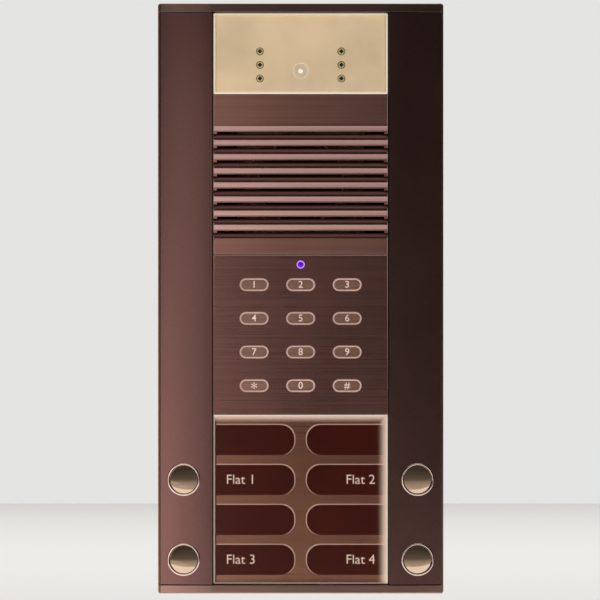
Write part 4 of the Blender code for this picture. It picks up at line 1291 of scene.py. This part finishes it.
@dataclass
class Grille:
    """The brushed speaker cover, with a sound slot and a sloping floor under each ridge."""

    ridges: int = 8
    pitch: float = 6.65 * MM
    ridge_height: float = 2.7 * MM
    top: float = 81.2 * MM
    face: float = -22.8 * MM
    floor: float = -19.4 * MM
    hollow: float = 1.2 * MM
    hollow_steps: int = 9
    ridge_top_y: float = -23.70 * MM
    ridge_foot_y: float = -22.60 * MM
    slot_height: float = 1.0 * MM
    slot_half: float = 30.0 * MM
    rebate_x: float = 39.6 * MM
    chamfer: float = 0.3 * MM

    def scoop(self, low_x: float, high_x: float) -> Piece:
        """A cutter for the first groove: a slot under the ridge, and a hollow that runs out to the face.

        Args:
            low_x: Its left end.
            high_x: Its right end.

        Returns:
            The cutter.
        """
        foot = self.top - self.ridge_height
        lip = foot - self.slot_height - 0.3 * MM
        run = lip - (self.top - self.pitch)
        front = self.face - PAST
        pocket_x = self.rebate_x - 0.2 * MM
        cutter = Bench.block("groove", (-pocket_x, front, lip), (pocket_x, self.floor, foot))
        hollow_high = (high_x + PAST, self.face + self.hollow, lip + 0.4 * MM)
        hollow = Bench.block("hollow", (low_x - PAST, front, lip - run), hollow_high)
        with Bench.editing(hollow):
            Bench.pick(hollow, "EDGE", lambda edge: abs(edge.verts[0].co.z - edge.verts[1].co.z) > run / 2)
            bpy.ops.mesh.subdivide(number_cuts=self.hollow_steps)
            Bench.pick(hollow, "VERT", lambda vert: vert.co.y > self.face)
            for vert in bmesh.from_edit_mesh(hollow.data).verts:
                if vert.select:
                    share = max(min((lip - vert.co.z) / run, 1.0), 0.0)
                    proud = 0.01 * MM if share > 0.99 else 0.0
                    vert.co.y = self.face + self.hollow * (1.0 - share) ** 2 - proud
            bmesh.update_edit_mesh(hollow.data)
        return Bench.combine(cutter, "UNION", hollow)

    def ridge(self, low_x: float, high_x: float) -> Piece:
        """The first ridge, whose front face leans down a little.

        Args:
            low_x: Its left end.
            high_x: Its right end.

        Returns:
            The ridge.
        """
        foot = self.top - self.ridge_height
        bar = Bench.block("ridge", (low_x, self.ridge_foot_y, foot), (high_x, self.face + 0.8 * MM, self.top))
        with Bench.editing(bar):
            front = self.ridge_foot_y + NEAR
            Bench.pick_edges(bar, lambda place: place.y < front and place.z > self.top - NEAR)
            bpy.ops.transform.translate(value=(0.0, self.ridge_top_y - self.ridge_foot_y, 0.0))
        return bar

    def build(self) -> None:
        """Makes the cover: plate, rebates, grooves, ridges and sound slots."""
        low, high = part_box("speaker_grille")
        cover = Bench.block("speaker_cover", (low.x, self.face, low.z), high)
        with Bench.editing(cover):
            for side in Side:
                x = side.value * high.x
                Bench.pick_edges(cover, lambda at, x=x: at.y < self.face + NEAR and abs(at.x - x) < NEAR)
                bpy.ops.mesh.bevel(offset=self.chamfer, segments=1, affect="EDGES")
        rebates = []
        for side in Side:
            ends = sorted((side.value * self.rebate_x, side.value * 50 * MM))
            rebate_low = (ends[0], -20.6 * MM, low.z - PAST)
            rebates.append(Bench.block("rebate", rebate_low, (ends[1], high.y + PAST, high.z + PAST)))
        Bench.combine(cover, "DIFFERENCE", *rebates)
        groove = self.scoop(low.x, high.x)
        ridge = self.ridge(low.x, high.x)
        foot = self.top - self.ridge_height
        slot_low = (-self.slot_half, self.floor - 0.5 * MM, foot - self.slot_height)
        slot = Bench.block("slot", slot_low, (self.slot_half, high.y + PAST, foot - 0.1 * MM))
        for index in range(self.ridges):
            down = (0.0, 0.0, -index * self.pitch)
            Bench.combine(cover, "DIFFERENCE", copy_of(groove, "groove_cut", down))
            Bench.combine(cover, "UNION", copy_of(ridge, "ridge_bar", down))
            Bench.combine(cover, "DIFFERENCE", copy_of(slot, "slot_cut", down))
        Bench.drop(groove, ridge, slot)
        Bench.soften(cover, 0.14 * MM, 2, 25.0)
        fit(cover, GRILLE_PLATE, "panel", "brushed_bronze", "speaker_grille")
        self.paint_faces(cover, high.x)

    def paint_faces(self, cover: Piece, side_x: float) -> None:
        """Lightens the ridges, paints a highlight on the cut side edges, paints the grooves darker as shade,
        and paints a near-black shadow on the back walls of the sound slots.

        Args:
            cover: The speaker cover.
            side_x: Where its sides are.
        """
        for finish in (RIDGE, EDGE_HIGHLIGHT, SLOT_SHADOW, GROOVE_SHADE):
            cover.data.materials.append(coat(finish))
        for face in cover.data.polygons:
            middle, normal = face.center, face.normal
            if middle.y < self.face - NEAR:
                face.material_index = 1
            elif max(middle.y - self.face, side_x - abs(middle.x)) < self.chamfer and normal.y < -0.2:
                face.material_index = 2
            # The back walls behind the ridges get a near-black painted shadow.
            elif self.floor - 0.25 * MM < middle.y < self.floor + NEAR and normal.y < -0.5:
                face.material_index = 3
            # Faces inside the grooves get painted shade.
            elif self.face + 0.03 * MM < middle.y < self.floor + NEAR and abs(normal.x) < 0.5:
                face.material_index = 4


# ---------------------------------------------------------------- keypad


@dataclass
class Keypad:
    """The brushed key plate, its twelve pill-shaped keys and the status lamp."""

    glyphs: tuple[tuple[str, str], ...] = (
        *((digit, digit) for digit in "123456789"),
        ("star", "*"),
        ("0", "0"),
        ("hash", "#"),
    )
    gap: float = 0.3 * MM
    rim: float = 0.35 * MM
    collar: float = 0.8 * MM
    glyph_size: float = 4.6 * MM
    lamp_r: float = 1.9 * MM
    chamfer: float = 0.32 * MM

    def place_of(self, name: str) -> Spot:
        """The middle of a key in x and z."""
        middle = middle_of(f"key_{name}")
        return middle.x, middle.z

    @property
    def face_size(self) -> Spot:
        """A key's width and height inside its collar."""
        low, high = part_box("key_1")
        return high.x - low.x - 2 * self.collar, high.z - low.z - 2 * self.collar

    def build_plate(self) -> None:
        """Makes the plate with a hole for each key and for the lamp."""
        low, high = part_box("keypad_plate")
        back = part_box("camera_window")[1].y
        plate = Bench.slab("key_plate", 0.4 * MM, 3, low, (high.x, back, high.z))
        with Bench.editing(plate):
            Bench.pick(
                plate,
                "EDGE",
                lambda edge: all(vert.co.y < low.y + 0.01 * MM for vert in edge.verts)
                and any(vert.co.z > low.z + 0.5 * MM for vert in edge.verts),
            )
            bpy.ops.mesh.bevel(offset=self.chamfer, segments=1, affect="EDGES")
        width, height = (size + 2 * self.gap for size in self.face_size)
        for name, _ in self.glyphs:
            hole = Bench.pill("hole", self.place_of(name), width, height, low.y - PAST, back + PAST)
            Bench.combine(plate, "DIFFERENCE", hole)
        z = middle_of("status_led").z
        start, end = (0, low.y - PAST, z), (0, back + PAST, z)
        Bench.combine(plate, "DIFFERENCE", Bench.rod("lamp_hole", self.lamp_r + self.gap, start, end, 64))
        for side in Side:
            for stud_z in (-48 * MM, 14 * MM):
                x = side.value * 37 * MM
                stud = Bench.rod("stud", 1.5 * MM, (x, back - 0.5 * MM, stud_z), (x, high.y, stud_z), 24)
                Bench.combine(plate, "UNION", stud)
        Bench.soften(plate, 0.12 * MM, 2, 40.0)
        fit(plate, PLATE, "panel", "brushed_bronze", "keypad_plate")

        def is_cut_edge(face: Any) -> bool:
            """Whether a face belongs to the chamfer at the top or sides, which gets a painted highlight."""
            middle = face.center
            reach = min(middle.x - low.x, high.x - middle.x, high.z - middle.z)
            return reach < self.chamfer and middle.y < low.y + self.chamfer and face.normal.y < -0.2

        # Painted highlight on the top and side chamfers only.
        paint(plate, EDGE_HIGHLIGHT, is_cut_edge)

    def build_key(self) -> tuple[Piece, Piece]:
        """One key about the origin: its translucent body and its brushed inlay."""
        low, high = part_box("key_1")
        width, height = self.face_size
        shoulder = high.y - 1.4 * MM
        middle = (0.0, 0.0)

        def bar(name: str, grow: float, front: float, back: float) -> Piece:
            """A pill that is larger than the key's face all round."""
            return Bench.pill(name, middle, width + 2 * grow, height + 2 * grow, front, back)

        body = bar("key_pattern", 0.0, low.y, shoulder)
        flange = bar("flange", self.collar, shoulder, shoulder + self.collar)
        stub = Bench.rod("stub", 1.5 * MM, (0, shoulder, 0), (0, high.y, 0), 24)
        Bench.combine(body, "UNION", flange, stub)
        seat_floor = low.y + 0.15 * MM
        Bench.combine(body, "DIFFERENCE", bar("seat", -self.rim, low.y - PAST, seat_floor))
        Bench.soften(body, 0.10 * MM, 2, 40.0)
        inlay = bar("inlay_pattern", -self.rim - 0.18 * MM, low.y + 0.04 * MM, seat_floor)
        Bench.soften(inlay, 0.03 * MM, 1, 40.0)
        return body, inlay

    def build_keys(self) -> None:
        """Copies the key to its twelve places and adds each legend."""
        body, inlay = self.build_key()
        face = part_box("key_1")[0].y + 0.04 * MM
        for name, glyph in self.glyphs:
            x, z = self.place_of(name)
            rider = f"key_{name}"
            # The key body's glow is painted light on its rim.
            fit(copy_of(body, f"{rider}_cap", (x, 0.0, z)), KEY_BODY_GLOW, rider, "key_moulding", rider)
            fit(copy_of(inlay, f"{rider}_inlay", (x, 0.0, z)), INLAY, rider, "brushed_bronze")
            size = self.glyph_size * (1.5 if glyph == "*" else 1.0)
            drop = -1.35 * MM if glyph == "*" else 0.0
            legend = Bench.letters(f"{rider}_legend", glyph, size, (x, face, z + drop), bold=0.02 * MM)
            fit(legend, LEGEND, rider, "key_moulding")
        Bench.drop(body, inlay)

    def build_lamp(self) -> None:
        """Makes the status lamp: a dark bezel, a lilac rim and a violet dome."""
        low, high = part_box("status_led")
        place = Matrix.Translation((0.0, 0.0, middle_of("status_led").z))
        outer, inner, core_r = self.lamp_r, 1.45 * MM, 1.35 * MM
        section = [(inner, low.y + 0.1 * MM), (outer, low.y), (outer, high.y), (inner, high.y)]
        bezel = Bench.lathe("lamp_bezel", section, place, 48)
        Bench.soften(bezel, 0.06 * MM)
        fit(bezel, LILAC, "panel", "violet_lamp", "status_led")
        crown = ((0.0, 0.02 * MM), (0.7 * MM, 0.1 * MM), (1.2 * MM, 0.35 * MM), (core_r, 0.7 * MM))
        dome = [(radius, low.y + depth) for radius, depth in crown]
        core = Bench.lathe("lamp_core", [*dome, (core_r, high.y), (0.0, high.y)], place, 40)
        Bench.soften(core, 0.0)
        fit(core, VIOLET, "panel", "violet_lamp")

    def build(self) -> None:
        """Makes every piece of the keypad."""
        self.build_plate()
        self.build_keys()
        self.build_lamp()


# ---------------------------------------------------------------- name field


@dataclass
class NameField:
    """The clear cover over eight name cards on their lit backing."""

    line: float = 0.42 * MM
    corner: float = 6.6 * MM
    film: float = 0.25 * MM
    names: tuple[tuple[int, str], ...] = ((3, "Flat 1"), (4, "Flat 2"), (7, "Flat 3"), (8, "Flat 4"))
    letter_size: float = 6.3 * MM
    margin: float = 4.6 * MM

    def card(self, name: str, side: Side, low: Vector, high: Vector) -> Piece:
        """A flat card with a square outer and a round inner end.

        Args:
            name: The object's name.
            side: The column it is in.
            low: Its lowest corner.
            high: Its highest corner.

        Returns:
            The card.
        """
        made = Bench.block(name, low, high)
        middle = (low.x + high.x) / 2
        radius = min(self.corner, (high.z - low.z) / 2 - 0.01 * MM)
        Bench.round_corners(made, radius, 12, lambda point: side.value * (point.x - middle) < 0.0)
        return made

    def build_cards(self) -> None:
        """Makes each card as a light carrier with a dark film that leaves a thin glowing line along the top
        and the inner end, a painted highlight.
        """
        for number in range(1, 9):
            node = f"name_card_{number}"
            side = Side.LEFT if number % 2 else Side.RIGHT
            low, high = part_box(node)
            seam = high.y - self.film
            carrier = self.card(f"{node}_carrier", side, Vector((low.x, seam, low.z)), high)
            Bench.soften(carrier, 0.04 * MM, 1, 40.0)
            fit(carrier, LEGEND, "panel", "key_moulding", node)
            # The film leaves the carrier's glow showing only along the top and the inner end: a painted
            # highlight.
            inner = self.line if side is Side.LEFT else 0.0
            film_low = Vector((low.x + (self.line - inner), low.y, low.z - 0.05 * MM))
            film_high = Vector((high.x - inner, seam, high.z - self.line))
            film = self.card(f"{node}_film", side, film_low, film_high)
            Bench.soften(film, 0.04 * MM, 1, 40.0)
            fit(film, CARD, "panel", "dark_card")

    def build_names(self) -> None:
        """Letters the second and fourth rows, from the outer edge inwards."""
        for number, text in self.names:
            low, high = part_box(f"name_card_{number}")
            is_left = number % 2 == 1
            x = low.x + self.margin if is_left else high.x - self.margin
            place = (x, low.y, middle_of(f"name_card_{number}").z - 0.2 * MM)
            align = "LEFT" if is_left else "RIGHT"
            words = Bench.letters(f"name_{number}_lettering", text, self.letter_size, place, align)
            fit(words, LETTERING, "panel", "key_moulding")

    def build_backing(self) -> None:
        """Makes the light guide with its satin foil face."""
        low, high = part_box("light_guide")
        guide = Bench.slab("light_guide_body", 0.4 * MM, 3, low, (high.x, -16.4 * MM, high.z))
        Bench.combine(guide, "UNION", *legs(37.4 * MM, (-60 * MM, -130 * MM), -17 * MM, high.y))
        Bench.soften(guide, 0.1 * MM)
        fit(guide, FOIL, "panel", "clear_acrylic", "light_guide")

    def build_cover(self) -> None:
        """Makes the clear cover, with painted highlights where its polished edges catch the lamps."""
        low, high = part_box("nameplate_cover")
        cover = Bench.slab("name_cover", 0.4 * MM, 3, low, high)
        Bench.soften(cover, 0.35 * MM, 2)
        glass = Pane(
            "name_acrylic",
            (0.96, 0.92, 0.89),
            (0.90, 0.73, 0.60),
            tuple(low),
            tuple(high),
            haze=0.0,
            left=0.8 * MM,
            right=6.0 * MM,
            top=4.8 * MM,
            bottom=0.4 * MM,
            faint=0.30,
            roughness=0.20,
        )
        fit(cover, glass, "nameplate_cover", "clear_acrylic", "nameplate_cover")

    def build(self) -> None:
        """Makes every piece of the name field."""
        self.build_backing()
        self.build_cards()
        self.build_names()
        self.build_cover()


# ---------------------------------------------------------------- call buttons


@dataclass
class CallButtons:
    """The four domed buttons, each square to its wing in a polished ring."""

    arc: WingArc
    reach: float = 55.1 * MM
    lip: float = 0.65 * MM
    bore: float = 6.85 * MM
    ring_r: float = 7.75 * MM
    hole_r: float = 7.5 * MM
    face_r: float = 6.6 * MM
    rise: float = 1.3 * MM
    dome_steps: int = 14

    def place_of(self, side: Side, row: str) -> Matrix:
        """The turned frame of a button, whose -Y points straight out of the wing."""
        height = middle_of(f"call_ring_{side.name.lower()}_{row}").z
        where = (side.value * self.reach, self.arc.depth(self.reach), height)
        turn = Euler((0.0, 0.0, side.value * self.arc.lean(self.reach))).to_matrix().to_4x4()
        return Matrix.Translation(where) @ turn

    def ring_profile(self) -> list[Spot]:
        """The ring's section: a rounded lip over a thin sleeve."""
        lip, bore, back = self.lip, self.bore, 4.0 * MM
        sleeve_r, seat = self.hole_r - 0.3 * MM, -0.30 * MM
        return [
            (bore, back),
            (bore, seat),
            (bore + 0.10 * MM, -lip + 0.12 * MM),
            (bore + 0.28 * MM, -lip),
            (bore + 0.52 * MM, -lip + 0.02 * MM),
            (self.ring_r - 0.16 * MM, -lip + 0.14 * MM),
            (self.ring_r, seat),
            (sleeve_r, seat),
            (sleeve_r, back),
        ]

    def dome_profile(self) -> list[Spot]:
        """The button's section: a shallow dome, a skirt, a collar and a stem."""
        sphere = (self.face_r**2 + self.rise**2) / (2 * self.rise)
        edge = math.asin(self.face_r / sphere)
        angles = [edge * step / self.dome_steps for step in range(self.dome_steps + 1)]
        dome = [(sphere * math.sin(angle), -self.rise + sphere * (1 - math.cos(angle))) for angle in angles]
        collar, skirt = 7.1 * MM, 4.3 * MM
        return [
            *dome,
            (self.face_r, skirt),
            (collar, skirt),
            (collar, 5.2 * MM),
            (2.4 * MM, 5.2 * MM),
            (2.4 * MM, 6.6 * MM),
            (0.0, 6.6 * MM),
        ]

    def build(self) -> None:
        """Makes the four buttons and their rings."""
        for side in Side:
            for row in ("upper", "lower"):
                label = f"{side.name.lower()}_{row}"
                place = self.place_of(side, row)
                ring = Bench.lathe(f"bezel_{label}", self.ring_profile(), place, 96)
                Bench.soften(ring, 0.0, angle=50.0)
                fit(ring, RING, "panel", "polished_bronze", f"call_ring_{label}")
                dome = Bench.lathe(f"dome_{label}", self.dome_profile(), place, 96)
                Bench.soften(dome, 0.0, angle=30.0)
                fit(dome, POLISHED, f"call_button_{label}", "polished_bronze", f"call_button_{label}")


# ---------------------------------------------------------------- inner parts


@dataclass(frozen=True)
class Inside:
    """The working parts behind the front, which keep their shapes."""

    finishes: tuple[tuple[str, Any], ...] = (
        ("chassis", ZINC),
        ("left_switch_board", Board()),
        ("right_switch_board", Board()),
        ("main_board", Board()),
        ("keypad_board", Board()),
        ("terminal_block", HOUSING),
        ("camera_holder", HOUSING),
        ("camera_pan_ring", ZINC),
        ("speaker_gasket", SILICONE),
        ("speaker_basket", ZINC),
        ("speaker_cone", CONE),
        ("microphone_boot", SILICONE),
        ("microphone", SCREW),
        ("keypad_mat", SILICONE),
    )

    def build(self) -> None:
        """Dresses each working part."""
        for node, finish in self.finishes:
            dress(node, finish)


# ---------------------------------------------------------------- studio


@dataclass
class Studio:
    """The pale floor, the soft lights and the camera, straight in front of the panel."""

    distance: float = 3.0
    sensor: float = 36.0
    shown_width: float = 0.2823
    aim: Point = (-0.0003, 0.0, -0.0007)
    floor_z: float = -0.225
    band_half: float = 2.6
    band_y: float = -1.3
    steps: tuple[Point, ...] = (
        (-0.27, -0.215, 0.27),
        (-0.34, -0.27, 0.23),
        (-0.46, -0.34, 0.195),
        (-0.70, -0.46, 0.17),
        (-1.30, -0.70, 0.15),
    )
    tiers: tuple[Point, ...] = (
        (-0.215, -0.10, 0.14),
        (-0.10, 0.05, 0.12),
        (0.05, 0.25, 0.095),
        (0.25, 0.55, 0.07),
        (0.55, 1.40, 0.04),
    )

    def build_camera(self) -> None:
        """Sets the camera square to the panel, with a long lens."""
        front = CAD_BOUNDS[0][1]
        lens = bpy.data.cameras.new("camera")
        lens.sensor_width = self.sensor
        lens.lens = self.sensor * self.distance / self.shown_width
        lens.clip_start = 0.01
        camera = bpy.data.objects.new("camera", lens)
        camera.location = (self.aim[0], front - self.distance, self.aim[2])
        camera.rotation_euler = (math.pi / 2, 0.0, 0.0)
        bpy.context.scene.collection.objects.link(camera)
        bpy.context.scene.camera = camera

    def area(self, name: str, low: Point, high: Point, facing: Way, radiance: float, colour: Point) -> None:
        """Adds an area light that the camera doesn't see.

        Args:
            name: The light's name.
            low: One corner of its rectangle.
            high: The opposite corner.
            facing: The way it shines.
            radiance: How bright its face is.
            colour: Its colour.
        """
        turn = Vector(facing.value).to_track_quat("-Z", "Y")
        span = turn.inverted() @ (Vector(high) - Vector(low))
        lamp = bpy.data.lights.new(name, "AREA")
        lamp.shape = "RECTANGLE"
        lamp.size = abs(span.x)
        lamp.size_y = abs(span.y)
        lamp.energy = radiance * math.pi * lamp.size * lamp.size_y
        lamp.color = colour
        light = bpy.data.objects.new(name, lamp)
        light.location = (Vector(low) + Vector(high)) / 2
        light.rotation_mode = "QUATERNION"
        light.rotation_quaternion = turn
        light.visible_camera = False
        bpy.context.scene.collection.objects.link(light)

    def build_lights(self) -> None:
        """Adds the soft lights: two at the front left, one low, one high and one over the floor behind."""
        low, near, front = self.floor_z + 0.01, -0.38, -0.62
        wide, away = self.band_half, self.band_y
        warm, cream, cool = (1.0, 0.93, 0.90), (1.0, 0.95, 0.90), (0.95, 1.0, 1.02)
        self.area("near_key", (-0.27, near, -0.26), (-0.066, near, 0.145), Way.TO_WALL, 0.68, warm)
        self.area("far_key", (-1.00, front, -0.60), (-0.32, front, -0.02), Way.TO_WALL, 1.30, warm)
        self.area("low_fill", (-0.45, -0.36, low), (0.45, -0.03, low), Way.UP, 1.15, cream)
        self.area("dome_fill", (-0.40, -0.215, low), (0.40, -0.03, low), Way.UP, 1.0, cool)
        for number, (start, end, radiance) in enumerate(self.steps, start=1):
            name = f"dome_step_{number}"
            self.area(name, (-wide, start, low), (wide, end, low), Way.UP, radiance, cream)
        for number, (start, end, radiance) in enumerate(self.tiers, start=1):
            name = f"dome_tier_{number}"
            self.area(name, (-wide, away, start), (wide, away, end), Way.TO_WALL, radiance, cream)
        self.area("top", (-0.5, -0.6, 0.60), (0.5, 0.1, 0.60), Way.DOWN, 0.62, (1.0, 0.98, 0.96))
        self.area("floor_wash", (-2.5, 0.6, 1.4), (2.5, 4.5, 1.4), Way.DOWN, 1.7, (1.0, 1.0, 1.0))

    def share_lights(self, domes: Sequence[Piece]) -> None:
        """Keeps the broad lights off the mirror-bright domes, which have a low light of their own.

        Args:
            domes: The polished domes.
        """
        shares = {name: "EXCLUDE" for name in ("near_key", "far_key", "low_fill")}
        shares |= {lamp.name: "INCLUDE" for lamp in bpy.data.lights if lamp.name.startswith("dome_")}
        for name, share in shares.items():
            group = bpy.data.collections.new(f"{name}_share")
            for dome in domes:
                group.objects.link(dome)
            for member in group.collection_objects:
                member.light_linking.link_state = share
            bpy.data.objects[name].light_linking.receiver_collection = group

    def build_world(self) -> None:
        """Makes the surround pale to the eye and dim in the metal."""
        world = bpy.data.worlds.new("surround")
        bpy.context.scene.world = world
        world.use_nodes = True
        tree = world.node_tree
        tree.nodes.clear()
        out = tree.nodes.new("ShaderNodeOutputWorld")
        mix = tree.nodes.new("ShaderNodeMixShader")
        path = tree.nodes.new("ShaderNodeLightPath")
        tree.links.new(path.outputs["Is Camera Ray"], mix.inputs[0])
        for slot_number, (shade, strength) in enumerate(((0.9, 0.028), (0.86, 0.90)), start=1):
            background = tree.nodes.new("ShaderNodeBackground")
            background.inputs["Color"].default_value = (shade, shade, shade * 0.985, 1.0)
            background.inputs["Strength"].default_value = strength
            tree.links.new(background.outputs[0], mix.inputs[slot_number])
        tree.links.new(mix.outputs[0], out.inputs["Surface"])

    def build_floor(self) -> None:
        """Lays a plain pale floor under the panel."""
        bpy.ops.object.select_all(action="DESELECT")
        bpy.ops.mesh.primitive_plane_add(size=8.0, location=(0.0, 0.0, self.floor_z))
        floor = Bench.settle("studio_floor")
        floor.data.materials.clear()
        floor.data.materials.append(coat(Backdrop("pale_floor", (0.72, 0.71, 0.69))))

    def build(self) -> None:
        """Makes the studio."""
        self.build_camera()
        self.build_lights()
        self.build_world()
        self.build_floor()
        bpy.context.scene.view_settings.view_transform = "Standard"


def main() -> None:
    """Builds the panel's sub-assemblies and the studio, in order."""
    logging.basicConfig(level=logging.INFO, format="%(name)s: %(message)s")
    arc = WingArc()
    studio = Studio()
    parts = (studio, Shell(arc), CameraWindow(), Grille(), Keypad(), NameField(), CallButtons(arc), Inside())
    for part in parts:
        LOG.info("building %s", type(part).__name__)
        part.build()
    meshes = [found for found in bpy.data.objects if found.type == "MESH"]
    studio.share_lights([found for found in meshes if found.name.startswith("dome_")])


if __name__ == "__main__":
    main()
